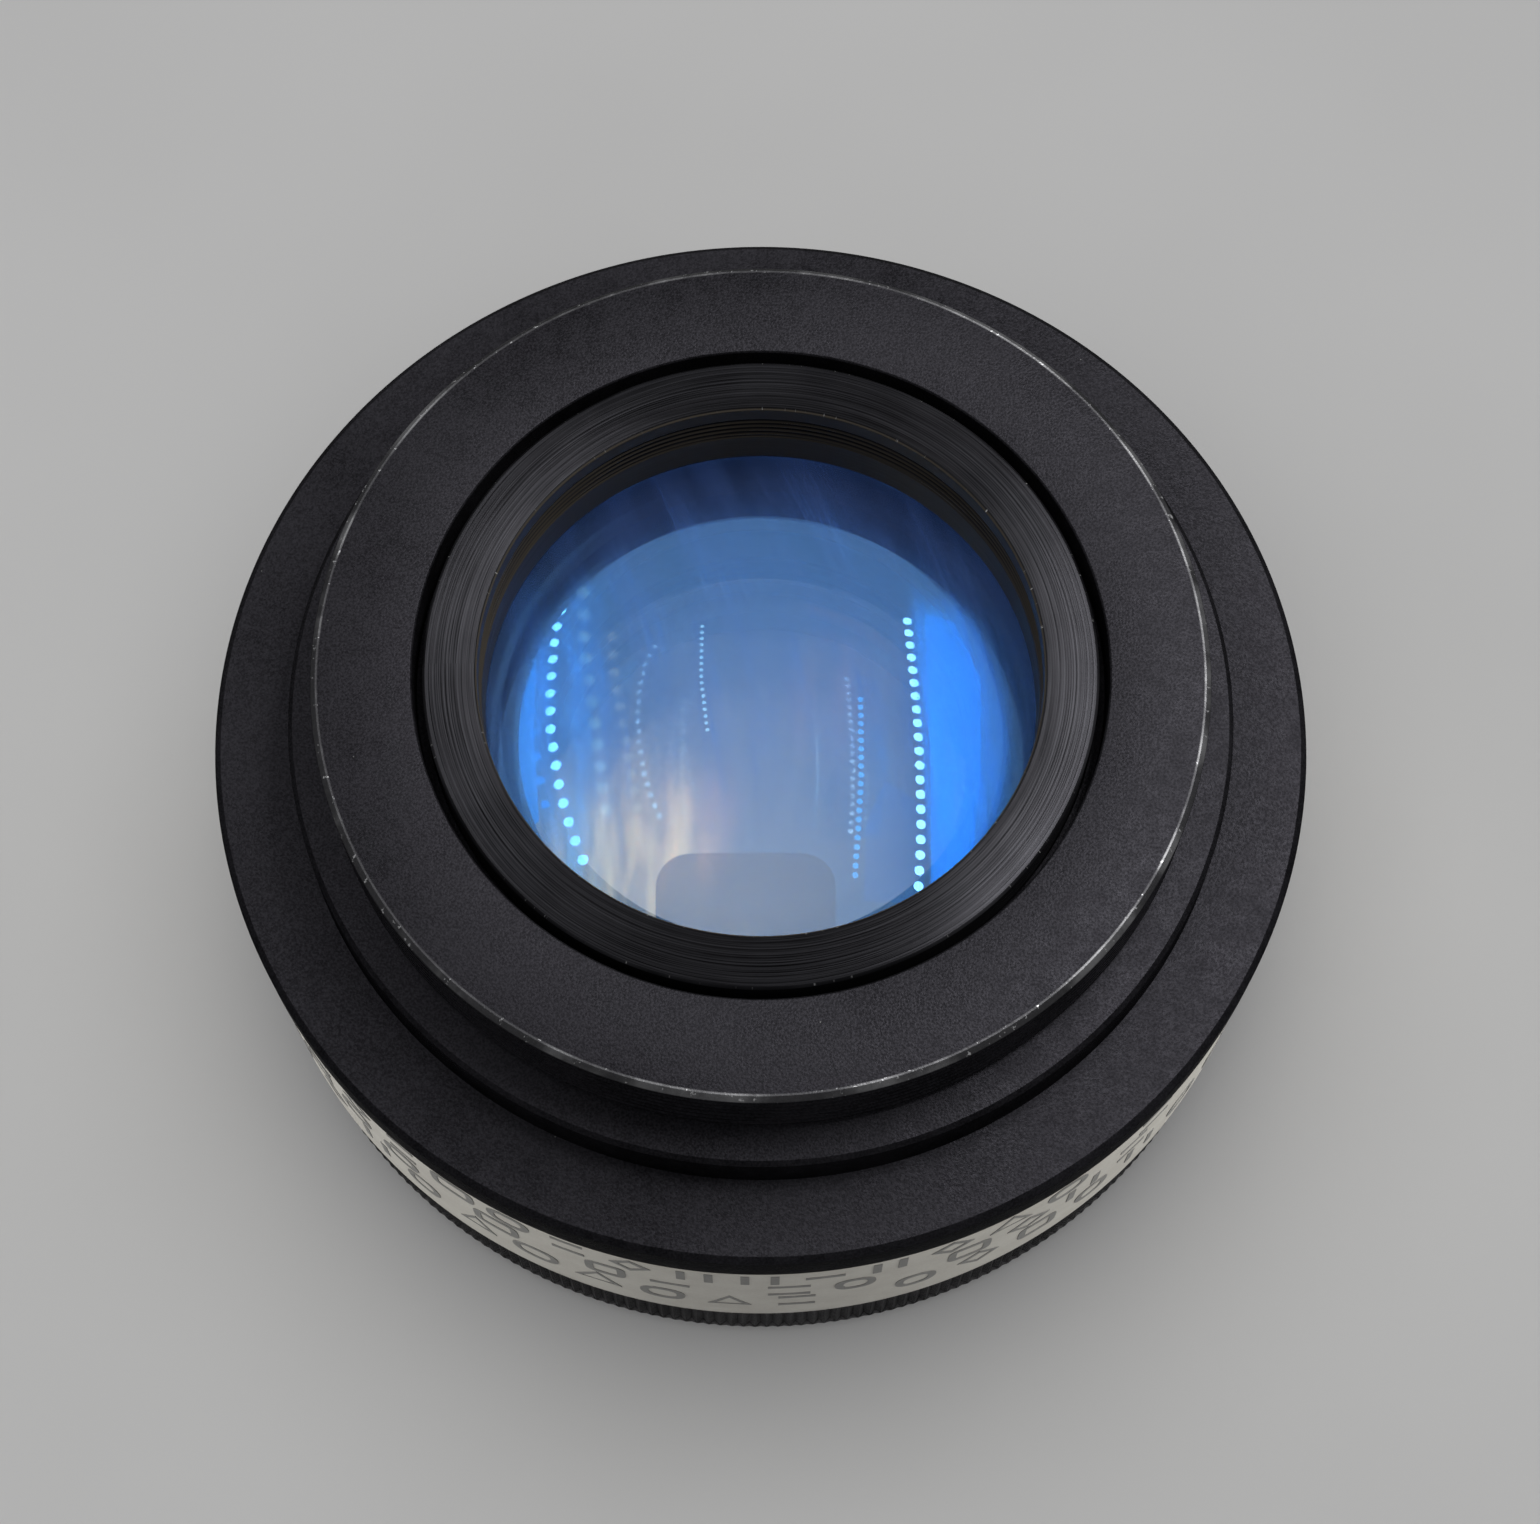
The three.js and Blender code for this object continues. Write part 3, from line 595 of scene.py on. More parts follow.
def tape():
    """The tape: a thin band with a soft edge, its free ends a little lifted and rounded."""
    cols, rows = 260, 26
    z0, z1 = 7.45, 19.63
    verts, faces = [], []
    for side in (1, 0):
        for i in range(cols + 1):
            t = i / cols
            a = A0 + (A1 - A0) * t
            end = min(t, 1 - t) * (A1 - A0) * 31.6
            for j in range(rows + 1):
                s = j / rows
                z = z0 + (z1 - z0) * s
                lift = 0.012 * math.sin(a * 5.0 + s * 4.0) * (0.4 + 0.6 * math.sin(a * 1.3) ** 2)
                lift = max(lift, 0.0)
                r = 31.572 + lift * 0.6
                if side:
                    edge = min(s, 1 - s) * (z1 - z0)
                    r += 0.085 * min(1.0, edge / 0.06, end / 0.06 if end < 0.06 else 1.0)
                verts.append(around(a, min(r, 31.70), z))
    n = (cols + 1) * (rows + 1)
    at = lambda k, i, j: k * n + i * (rows + 1) + j
    for i in range(cols):
        for j in range(rows):
            faces.append([at(0, i, j), at(0, i + 1, j), at(0, i + 1, j + 1), at(0, i, j + 1)])
            faces.append([at(1, i, j), at(1, i, j + 1), at(1, i + 1, j + 1), at(1, i + 1, j)])
    for i in range(cols):
        faces.append([at(0, i, 0), at(1, i, 0), at(1, i + 1, 0), at(0, i + 1, 0)])
        faces.append([at(0, i, rows), at(0, i + 1, rows), at(1, i + 1, rows), at(1, i, rows)])
    for j in range(rows):
        faces.append([at(0, 0, j), at(0, 0, j + 1), at(1, 0, j + 1), at(1, 0, j)])
        faces.append([at(0, cols, j), at(1, cols, j), at(1, cols, j + 1), at(0, cols, j + 1)])
    return finish_mesh("label_tape", verts, faces, 50)


def tape_material():
    n = Nodes("label_tape")
    fibre = n.noise(n.vec(n.math("MULTIPLY", n.a, 31.6), n.z, 0.0), 0.35, 4.0, 0.6)
    fine = n.noise(n.pos, 6.0, 2.0, 0.5)
    grime = n.noise(n.vec(n.math("MULTIPLY", n.a, 6.0), n.math("MULTIPLY", n.z, 0.12), 1.0), 1.0, 4.0, 0.65)
    colour = n.mix(n.ramp(fibre, 0.3, 0.7), (0.50, 0.475, 0.42), (0.56, 0.54, 0.48))
    colour = n.mix(n.ramp(grime, 0.52, 0.80, 0.0, 0.45), colour, (0.42, 0.385, 0.32))
    edge = n.math("MINIMUM", n.math("SUBTRACT", n.z, 7.45), n.math("SUBTRACT", 19.63, n.z))
    colour = n.mix(n.ramp(edge, 0.0, 0.55, 0.40, 0.0), colour, (0.33, 0.30, 0.25))
    n.put(n.p.inputs["Base Color"], colour)
    n.put(n.p.inputs["Roughness"], n.ramp(fine, 0.3, 0.7, 0.40, 0.52))
    n.p.inputs["Coat Weight"].default_value = 0.15
    n.p.inputs["Coat Roughness"].default_value = 0.25
    n.put(n.p.inputs["Normal"], n.bump(n.math("ADD", n.math("MULTIPLY", fine, 0.3), fibre), 0.01, 0.4))
    return n.mat


label = tape()
piece(label, tape_material(), "root", "label_tape", "label_band")


def marks():
    """Three rows of small generic marks: rings, boxes, bars, dashes, diamonds and wedges, with no letters."""
    rng = random.Random(7)
    verts, faces = [], []

    def stroke(path, w, closed=False):
        """A flat stroke of width w along a path of (distance round the tape, height)."""
        pts = [np.array(p, float) for p in path]
        if closed:
            pts.append(pts[0])
        left, right = [], []
        for i, p in enumerate(pts):
            if closed and i in (0, len(pts) - 1):
                d0, d1 = pts[-1] - pts[-2], pts[1] - pts[0]
            else:
                d0 = p - pts[max(i - 1, 0)]
                d1 = pts[min(i + 1, len(pts) - 1)] - p
            d = d0 / max(np.linalg.norm(d0), 1e-9) + d1 / max(np.linalg.norm(d1), 1e-9)
            d = d / max(np.linalg.norm(d), 1e-9)
            m = np.array([-d[1], d[0]]) * w / 2
            left.append(p + m)
            right.append(p - m)
        start = len(verts)
        count = len(pts)
        for r in (31.60, 31.695):
            for q in left + right:
                verts.append(around(q[0] / 31.6, r, q[1]))
        k = 2 * count
        for i in range(count - 1):
            a, b, c, d = i, i + 1, count + i + 1, count + i
            faces.append([start + k + v for v in (a, b, c, d)])
            faces.append([start + v for v in (d, c, b, a)])
            faces.append([start + a, start + b, start + k + b, start + k + a])
            faces.append([start + d, start + k + d, start + k + c, start + c])
        if not closed:
            for i, s in ((0, 1), (count - 1, -1)):
                f = [start + i, start + k + i, start + k + count + i, start + count + i]
                faces.append(f if s > 0 else f[::-1])

    def ring(cx, cz, w, h, flat):
        n = 20
        return [(cx + w / 2 * math.copysign(abs(math.cos(TAU * i / n)) ** flat, math.cos(TAU * i / n)),
                 cz + h / 2 * math.copysign(abs(math.sin(TAU * i / n)) ** flat, math.sin(TAU * i / n))) for i in range(n)]

    for row, (z, h, step, a_from, a_to) in enumerate(((17.8, 2.2, 3.7, 176, 356), (14.8, 2.2, 3.8, 182, 352), (11.8, 2.3, 3.9, 196, 346))):
        s = math.radians(a_from) * 31.6
        while s < math.radians(a_to) * 31.6:
            kind = rng.choice(("ring", "box", "bars", "diamond", "dash", "ring", "pair", "gap", "wedge"))
            w = rng.uniform(1.9, 2.5)
            t = 0.50
            if kind == "ring":
                stroke(ring(s, z, w, h, 0.8), t, True)
            elif kind == "box":
                stroke(ring(s, z, w, h, 0.35), t, True)
            elif kind == "bars":
                for dx in (-0.38, 0.38):
                    stroke([(s + dx * w, z - h / 2), (s + dx * w, z + h / 2)], t)
            elif kind == "diamond":
                stroke([(s - w / 2, z), (s, z + h / 2), (s + w / 2, z), (s, z - h / 2)], t, True)
            elif kind == "dash":
                stroke([(s - w / 2, z), (s + w / 2, z)], t)
            elif kind == "pair":
                stroke([(s - w / 2, z + h * 0.45), (s + w / 2, z + h * 0.45)], t)
                stroke([(s - w / 2, z - h * 0.45), (s + w / 2, z - h * 0.45)], t)
            elif kind == "wedge":
                stroke([(s - w / 2, z - h * 0.42), (s, z + h * 0.5), (s + w / 2, z - h * 0.42)], t, True)
            s += step if kind != "gap" else step * 0.8
    return finish_mesh("label_marks", verts, faces, 50)


def ink_material():
    n = Nodes("label_print")
    fine = n.noise(n.pos, 3.0, 3.0, 0.6)
    n.put(n.p.inputs["Base Color"], n.mix(n.ramp(fine, 0.3, 0.7), (0.15, 0.148, 0.140), (0.23, 0.225, 0.21)))
    n.put(n.p.inputs["Roughness"], n.ramp(fine, 0.3, 0.7, 0.45, 0.6))
    return n.mat


label_marks = piece(marks(), ink_material(), "root", "label_tape")


# ------------------------------------------------------------ aperture ring
TEETH = 280


def serration(a, r, z):
    if r < 31.25 or not 1.98 < z < 6.46:
        return r
    u = (a * TEETH / TAU) % 1.0
    tri = 1.0 - abs(2 * u - 1)
    v = min(max((tri - 0.18) / 0.55, 0.0), 1.0)
    depth = 0.26 * min((z - 1.95) / 0.2, (6.5 - z) / 0.2, 1.0)
    return r - depth * (1 - v)


ring_prof = filleted([
    (25.1, 1.65), (31.05, 1.65), (31.4, 2.0), (31.4, 6.48), (31.18, 6.62), (31.18, 6.78), (31.4, 6.86),
    (31.4, 7.12), (31.27, 7.25), (29.35, 7.25), (29.35, 6.9), (26.65, 6.9), (26.65, 7.25), (25.1, 7.25),
], 0.03, 1)
i0 = max(k for k, p in enumerate(ring_prof) if p[0] > 31.3 and p[1] < 3.0)
ring_prof = ring_prof[: i0 + 1] + [(31.4, z) for z in (2.2, 2.6, 3.6, 5.0, 6.0, 6.28, 6.4)] + ring_prof[i0 + 1:]
ring = lathe("aperture_ring_serrated", ring_prof, TEETH * 4, serration, sharp=30)
join_in(ring, spoke("screw_hole", 1.3, 24, 33, 4.4, 90), "DIFFERENCE")
piece(ring, M_RING, "aperture_control", "ring_anodised", "aperture_ring")

# --------------------------------------------------------------- rear cell
cell_pts = filleted([
    (16.55, 15.1), (18.8, 15.1), (18.8, 31.7), (18.65, 31.85),
    (15.92, 31.85), (15.77, 31.70), (15.77, 25.8), (16.55, 25.8),
], 0.06, 2, {6: 0.02, 7: 0.03})
i1 = max(k for k, p in enumerate(cell_pts) if 15.6 < p[0] < 15.8 and p[1] > 31.0)
rows = [(15.77, z) for z in np.arange(31.45, 25.90, -0.055)]
cell_pts = cell_pts[: i1 + 1] + rows + cell_pts[i1 + 1:]


def cell_bore(a, r, z):
    """Filter thread below a plain land, then a plain bore down to the lip."""
    if abs(r - 15.77) > 0.002 or not 28.3 < z < 30.6:
        return r
    u = (z / 0.5 - a / TAU) % 1.0
    fade = min((z - 28.3) / 0.2, (30.6 - z) / 0.2, 1.0)
    return r + 0.20 * fade * (1 - abs(2 * u - 1))


cell = lathe("rear_cell_turned", cell_pts, 300, cell_bore)


def cell_wear(n):
    edge = n.math("MAXIMUM", n.band(n.r, 15.84, 0.03, 0.05), n.band(n.r, 18.72, 0.02, 0.05))
    edge = n.math("MULTIPLY", edge, n.ramp(n.z, 31.6, 31.7))
    nick = n.noise(n.vec(n.math("MULTIPLY", n.a, 40.0), 5.0, 0.0), 1.0, 3.0, 0.7)
    return n.math("MULTIPLY", edge, n.ramp(nick, 0.60, 0.68))


M_CELL = turned("turned_black_face", (0.0200, 0.0198, 0.0222), 0.34, aniso=0.85, metal=0.9, worn=cell_wear, bore=15.82)
piece(cell, M_CELL, "root", "turned_black", "rear_cell")

lock = lathe("rear_retaining_ring_turned", filleted([(11.8, 14.98), (16.5, 14.98), (16.5, 15.5), (11.8, 15.5)], 0.05, 2), 200)
for a in (35, 215):
    t = prism("notch", [(15.0, -0.5), (17.2, -0.5), (17.2, 0.5), (15.0, 0.5)], 14.5, 15.22)
    t.data.transform(Matrix.Rotation(math.radians(a), 4, "Z"))
    join_in(lock, t, "DIFFERENCE")
piece(lock, M_MATT, "root", "matt_black", "rear_retaining_ring")
piece(lathe("rear_doublet_holder_turned", filleted([
    (13.65, 15.6), (16.5, 15.6), (16.5, 23.1), (14.1, 23.1), (12.9, 21.6), (12.9, 19.88), (13.65, 19.66),
], 0.04, 2), 200), M_MATT, "root", "matt_black", "rear_doublet_holder")


# ------------------------------------------------------------------- optics
def sag(R, r):
    return R - math.sqrt(R * R - r * r)


def dome(z, R, a, b, up, steps=24):
    return [(a + (b - a) * i / steps, z - up * sag(R, a + (b - a) * i / steps)) for i in range(steps + 1)]


GAP = 0.004


def element(name, r, z0, R0, z1, R1, up, mat, slot_name, node, clear=None, seg=160):
    low = dome(z0, R0, 0, clear or r, up)
    if clear:
        low = low + [(r, z0 - up * sag(R0, clear))]
    high = dome(z1, R1, r, 0, up)
    prof = low + high[0:1] + high[1:]
    ob = lathe(name, prof, seg, sharp=30)
    return piece(ob, mat, "root", slot_name, node)


element("rear_glass", 16.48, 23.6, 300, 26.9, 110, 1, M_REAR, "coated_glass", "rear_element", seg=200)
element("rear_glass_positive", 13.58, 19.0 + GAP, 90, 21.7, 45, 1, M_INNER, "inner_glass", "rear_doublet_positive")
element("rear_glass_negative", 13.58, 17.8, 30, 19.0 - GAP, 90, 1, M_INNER, "inner_glass", "rear_doublet_negative", clear=11.4)
element("front_glass", 14.68, 5.3, 300, 2.1, 110, -1, M_FRONT, "coated_glass", "front_element")
element("front_glass_positive", 13.18, 8.8 - GAP, 90, 5.9, 45, -1, M_INNER, "inner_glass", "front_doublet_positive")
element("front_glass_negative", 13.18, 9.9, 30, 8.8 + GAP, 90, -1, M_INNER, "inner_glass", "front_doublet_negative", clear=11.2)

piece(lathe("front_spacer_turned", [(12.5, 5.62), (13.16, 5.65), (13.16, 7.82), (12.5, 7.61)], 160), M_MATT, "root", "matt_black", "front_spacer_ring")

# -------------------------------------------------------------- front parts
piece(lathe("front_cell_turned", filleted([
    (13.25, 12.12), (11.4, 12.12), (11.4, 12.6), (15.5, 12.6), (15.5, 11.9), (20.0, 11.9),
    (20.0, 1.6), (23.1, 1.6), (23.1, 0.45), (19.6, 0.45), (17.9, 0.82), (17.9, 0.95), (16.3, 1.17), (16.3, 1.3), (14.75, 1.5), (14.75, 5.72), (13.25, 5.72),
], 0.04, 2), 240), M_MATT, "root", "matt_black", "front_cell")
front_lock = lathe("front_retaining_ring_turned", filleted([
    (14.0, 1.5), (14.3, 1.2), (14.68, 1.2), (14.68, 3.0), (14.0, 2.9),
], 0.03, 2), 200)
for a in (20, 200):
    t = prism("notch", [(13.7, -0.5), (15.2, -0.5), (15.2, 0.5), (13.7, 0.5)], 0.8, 1.6)
    t.data.transform(Matrix.Rotation(math.radians(a), 4, "Z"))
    join_in(front_lock, t, "DIFFERENCE")
piece(front_lock, M_MATT, "root", "matt_black", "front_retaining_ring")
piece(lathe("front_bezel_turned", filleted([
    (20.75, 0), (29.0, 0), (29.2, 0.2), (29.2, 1.5), (24.45, 1.5), (24.45, 0.37), (20.6, 0.37), (20.6, 0.15),
], 0.04, 2), 300), M_BEZEL, "root", "black_anodised", "front_bezel")

# --------------------------------------------------------------------- iris
PIVOT, LEVER, LEV_A = 17.6, 3.6, math.radians(-80)
DX, DY = PIVOT + LEVER * math.cos(LEV_A), LEVER * math.sin(LEV_A)


def blade_outline():
    """The open blade: a crescent round the axis, with a tail that holds both pins."""
    out = []
    r0, r1 = 11.7, 16.9
    for k in range(49):
        a = math.radians(6 + (128 - 6) * k / 48)
        out.append((r1 * math.cos(a), r1 * math.sin(a)))
    e, m, h = math.radians(128), (r0 + r1) / 2, (r1 - r0) / 2
    for k in range(1, 12):
        b = math.pi * k / 12
        rad, al = m + h * math.cos(b), h * 0.55 * math.sin(b)
        out.append((rad * math.cos(e) - al * math.sin(e), rad * math.sin(e) + al * math.cos(e)))
    for k in range(53):
        a = math.radians(128 - 130 * k / 52)
        out.append((r0 * math.cos(a), r0 * math.sin(a)))
    out.append((12.6, -1.1))
    for k in range(3):
        a = math.radians(-5.0 - 0.5 * k)
        out.append((16.2 * math.cos(a), 16.2 * math.sin(a)))
    for k in range(13):
        a = LEV_A - math.pi * 0.5 + math.pi * k / 12
        out.append((DX + 0.8 * math.cos(a), DY + 0.8 * math.sin(a)))
    for k in range(9):
        a = LEV_A + math.pi * 0.5 + math.pi * 0.62 * k / 8
        out.append((PIVOT + 1.0 * math.cos(a), 1.0 * math.sin(a)))
    return out


for i in range(5):
    z = 13.05 + 0.25 * i
    blade = prism(f"blade_{i + 1}_pressed", blade_outline(), z, z + 0.15, 0.02, 50)
    join_in(blade, bar("pin", 0.4, z + 0.07, 14.85, PIVOT, 0, 24, 0.04), "UNION")
    join_in(blade, bar("pin", 0.35, 12.48, z + 0.07, DX, DY, 24, 0.04), "UNION")
    blade.data.transform(Matrix.Rotation(math.radians(72 * i), 4, "Z"))
    piece(blade, M_BLADE, f"blade_{i + 1}", "blade_steel", f"iris_blade_{i + 1}")

base = lathe("iris_base_turned", filleted([(11.5, 14.4), (22.35, 14.4), (22.35, 14.9), (11.5, 14.9)], 0.04, 2), 240)
for i in range(5):
    t = bar("hole", 0.46, 14.0, 15.3, PIVOT * math.cos(TAU * i / 5), PIVOT * math.sin(TAU * i / 5), 24)
    join_in(base, t, "DIFFERENCE")
piece(base, M_MATT, "root", "matt_black", "iris_base_plate")
piece(lathe("iris_spacer_turned", filleted([(21.75, 12.5), (22.35, 12.5), (22.35, 14.38), (21.75, 14.38)], 0.04, 2), 200), M_BRASS, "root", "brass", "iris_spacer_ring")
piece(lathe("iris_lock_turned", filleted([(20.5, 14.92), (22.35, 14.92), (22.35, 16.4), (20.5, 16.4)], 0.05, 2), 200), M_MATT, "root", "matt_black", "iris_retaining_ring")

actuator = lathe("iris_actuator_turned", filleted([
    (20.2, 1.75), (21.5, 1.75), (21.5, 13.0), (15.8, 13.0), (15.8, 12.4), (20.2, 12.4),
], 0.04, 2), 240)


def pin_path(t):
    phi = LEV_A + math.radians(30) * t
    x, y = PIVOT + LEVER * math.cos(phi), LEVER * math.sin(phi)
    a = -math.radians(60) * t
    return np.array([x * math.cos(a) - y * math.sin(a), x * math.sin(a) + y * math.cos(a)])


def slot_outline(half, n=40):
    path = [pin_path(k / n) for k in range(n + 1)]
    left, right = [], []
    for k, p in enumerate(path):
        d = path[min(k + 1, n)] - path[max(k - 1, 0)]
        d = d / np.linalg.norm(d)
        m = np.array([-d[1], d[0]]) * half
        left.append(p + m)
        right.append(p - m)
    def cap(c, a, b):
        a0, a1 = math.atan2(*(a - c)[::-1]), math.atan2(*(b - c)[::-1])
        while a1 > a0:
            a1 -= TAU
        return [c + half * np.array([math.cos(a0 + (a1 - a0) * k / 8), math.sin(a0 + (a1 - a0) * k / 8)]) for k in range(1, 8)]
    return left + cap(path[-1], left[-1], right[-1]) + right[::-1] + cap(path[0], right[0], left[0])


for i in range(5):
    t = prism("slot", slot_outline(0.41), 12.38, 13.6)
    t.data.transform(Matrix.Rotation(math.radians(72 * i), 4, "Z"))
    join_in(actuator, t, "DIFFERENCE")
join_in(actuator, spoke("hole", 1.05, 19, 23, 4.4, 90), "DIFFERENCE")
piece(actuator, M_MATT, "aperture_control", "matt_black", "iris_actuator")

drive = spoke("drive_screw_turned", 1.0, 20.35, 27.2, 4.4, 90, 32, 0.08)
join_in(drive, spoke("head", 1.25, 27.0, 30.4, 4.4, 90, 40, 0.10), "UNION")
cutter = prism("driver_slot", [(-1.6, 29.9), (1.6, 29.9), (1.6, 31.2), (-1.6, 31.2)], 4.2, 4.6)
join_in(drive, cutter, "DIFFERENCE")
piece(drive, M_STEEL, "aperture_control", "steel", "aperture_drive_screw")

# --------------------------------------------------------------- click stop
bx, by = 28 * math.cos(CLICK_A), 28 * math.sin(CLICK_A)
ball = lathe("click_ball_ground", [(1.14 * math.sin(math.pi * k / 24), 8.11 - 1.14 * math.cos(math.pi * k / 24)) for k in range(25)], 48)
ball.data.transform(Matrix.Translation((bx * MM, by * MM, 0)))
piece(ball, M_STEEL, "root", "steel", "click_ball")
spring_pts = []
for k in range(17):
    a = math.radians(246 + 22 * k / 16)
    spring_pts.append((29.0 * math.cos(a), 29.0 * math.sin(a)))
for k in range(16, -1, -1):
    a = math.radians(246 + 22 * k / 16)
    spring_pts.append((26.4 * math.cos(a), 26.4 * math.sin(a)))
spring = prism("click_spring_pressed", spring_pts, 9.63, 9.86, 0.03)
join_in(spring, bar("hole", 0.6, 9.0, 10.4, SX, SY), "DIFFERENCE")
piece(spring, M_BRONZE, "root", "spring_bronze", "click_spring")
clamp = bar("click_screw_turned", 0.5, 8.25, 10.1, SX, SY, 24, 0.05)
join_in(clamp, bar("head", 1.0, 9.9, 10.48, SX, SY, 32, 0.08), "UNION")
cutter = prism("driver_slot", [(-1.4, -0.17), (1.4, -0.17), (1.4, 0.17), (-1.4, 0.17)], 10.24, 11)
cutter.data.transform(Matrix.Rotation(math.radians(257), 4, "Z"))
cutter.data.transform(Matrix.Translation((SX * MM, SY * MM, 0)))
join_in(clamp, cutter, "DIFFERENCE")
piece(clamp, M_STEEL, "root", "steel", "click_spring_screw")


# -------------------------------------------------------------- stage, light
def floor_material():
    n = Nodes("floor")
    soft = n.noise(n.pos, 0.02, 3.0, 0.5)
    n.put(n.p.inputs["Base Color"], n.mix(n.ramp(soft, 0.3, 0.7), (0.68, 0.675, 0.665), (0.71, 0.705, 0.695)))
    n.p.inputs["Roughness"].default_value = 0.85
    return n.mat


fm = bpy.data.meshes.new("floor")
fm.from_pydata([(-2, -2, 0), (2, -2, 0), (2, 2, 0), (-2, 2, 0)], [], [(0, 1, 2, 3)])
floor = bpy.data.objects.new("floor", fm)
scene.collection.objects.link(floor)
fm.materials.append(floor_material())

world = bpy.data.worlds.new("studio")
world.use_nodes = True
wt = world.node_tree
wc = wt.nodes.new("ShaderNodeTexCoord")
ws = wt.nodes.new("ShaderNodeSeparateXYZ")
wt.links.new(wc.outputs["Generated"], ws.inputs[0])
up = wt.nodes.new("ShaderNodeMath")
up.operation = "MULTIPLY_ADD"
wt.links.new(ws.outputs[2], up.inputs[0])
up.inputs[1].default_value = 0.44
up.inputs[2].default_value = 0.09
back = wt.nodes.new("ShaderNodeMath")
back.operation = "MULTIPLY_ADD"
wt.links.new(ws.outputs[1], back.inputs[0])
back.inputs[1].default_value = 0.18
wt.links.new(up.outputs[0], back.inputs[2])
floor_level = wt.nodes.new("ShaderNodeMath")
floor_level.operation = "MAXIMUM"
wt.links.new(back.outputs[0], floor_level.inputs[0])
floor_level.inputs[1].default_value = 0.05
wt.links.new(floor_level.outputs[0], wt.nodes["Background"].inputs[1])
wt.nodes["Background"].inputs[0].default_value = (0.97, 0.98, 1.0, 1.0)
scene.world = world


def area(name, loc, aim, size, power, colour=(1, 1, 1), size_y=None):
    d = bpy.data.lights.new(name, "AREA")
    d.shape = "RECTANGLE" if size_y else "SQUARE"
    d.size = size
    if size_y:
        d.size_y = size_y
    d.energy = power
    d.color = colour
    o = bpy.data.objects.new(name, d)
    o.location = loc
    o.rotation_euler = (Vector(aim) - Vector(loc)).to_track_quat("-Z", "Y").to_euler()
    scene.collection.objects.link(o)
    return o


area("overhead", (0, 0.05, 1.0), (0, 0, 0.02), 1.2, 4.0).visible_glossy = False

# the polished glass is lit by its own lamps, so that the strips don't show as hard shapes in it
GLASSES = [o for o in scene.collection.objects if "_glass" in o.name]
others = bpy.data.collections.new("lit_by_strips")
for o in scene.collection.objects:
    if o.type == "MESH" and o not in GLASSES and o is not floor:
        others.objects.link(o)
ground = bpy.data.collections.new("lit_through_glass")
ground.objects.link(floor)
glassy = bpy.data.collections.new("lit_by_lamps")
for o in GLASSES:
    glassy.objects.link(o)


def strip(name, x, y, w, l, power):
    d = bpy.data.lights.new(name, "AREA")
    d.shape = "RECTANGLE"
    d.size, d.size_y = w, l
    d.energy = power
    o = bpy.data.objects.new(name, d)
    o.location = (x, y, 0.35)
    scene.collection.objects.link(o)
    o.light_linking.receiver_collection = others
    return o


strip("strip_right", 0.115, 0.09, 0.05, 0.22, 1.00)
strip("strip_left", -0.125, 0.12, 0.03, 0.20, 0.15)


def lamp_row(name, path, count, width, colour, strength):
    """A row of small lamps high over the lens, seen only in what is polished. path is in millimetres at z = 350."""
    pts = [np.array(p, float) for p in path]
    seg = [np.linalg.norm(pts[i + 1] - pts[i]) for i in range(len(pts) - 1)]
    total = sum(seg)
    verts, faces = [], []
    for k in range(count):
        d = total * k / (count - 1)
        i = 0
        while i < len(seg) - 1 and d > seg[i]:
            d -= seg[i]
            i += 1
        c = pts[i] + (pts[i + 1] - pts[i]) * min(d / seg[i], 1.0)
        start = len(verts)
        for j in range(10):
            w = TAU * j / 10
            verts.append(((c[0] + width / 2 * math.cos(w)) * MM, (c[1] + width / 2 * math.sin(w)) * MM, 0.35))
        faces.append(list(range(start + 9, start - 1, -1)))
    me = bpy.data.meshes.new(name)
    me.from_pydata(verts, [], faces)
    mat = bpy.data.materials.new(name)
    mat.use_nodes = True
    t = mat.node_tree
    t.nodes.clear()
    out = t.nodes.new("ShaderNodeOutputMaterial")
    em = t.nodes.new("ShaderNodeEmission")
    em.inputs["Color"].default_value = (*colour, 1.0)
    em.inputs["Strength"].default_value = strength
    t.links.new(em.outputs[0], out.inputs["Surface"])
    me.materials.append(mat)
    ob = bpy.data.objects.new(name, me)
    scene.collection.objects.link(ob)
    ob.visible_camera = False
    ob.visible_diffuse = False
    ob.visible_shadow = False
    ob.light_linking.receiver_collection = glassy
    return ob


def panel(name, outline, colour, strength):
    """A lit panel at z = 350, seen only in the polished glass."""
    ob = lamp_row(name, [outline[0], outline[1]], 2, 1.0, colour, strength)
    me = ob.data
    mat = me.materials[0]
    me.clear_geometry()
    me.from_pydata([(x * MM, y * MM, 0.3501) for x, y in outline], [], [list(range(len(outline)))[::-1]])
    if not me.materials:
        me.materials.append(mat)
    return ob


def side_light(name, x):
    """A weak soft light at each side, for the tape and the serrated ring."""
    o = area(name, (x, -0.03, 0.06), (0, 0, 0.012), 0.12, 0.32)
    o.visible_glossy = False
    o.light_linking.receiver_collection = sides
    return o


sides = bpy.data.collections.new("lit_by_sides")
for o in (label, label_marks, ring):
    sides.objects.link(o)
side_light("side_left", -0.24)
side_light("side_right", 0.24)

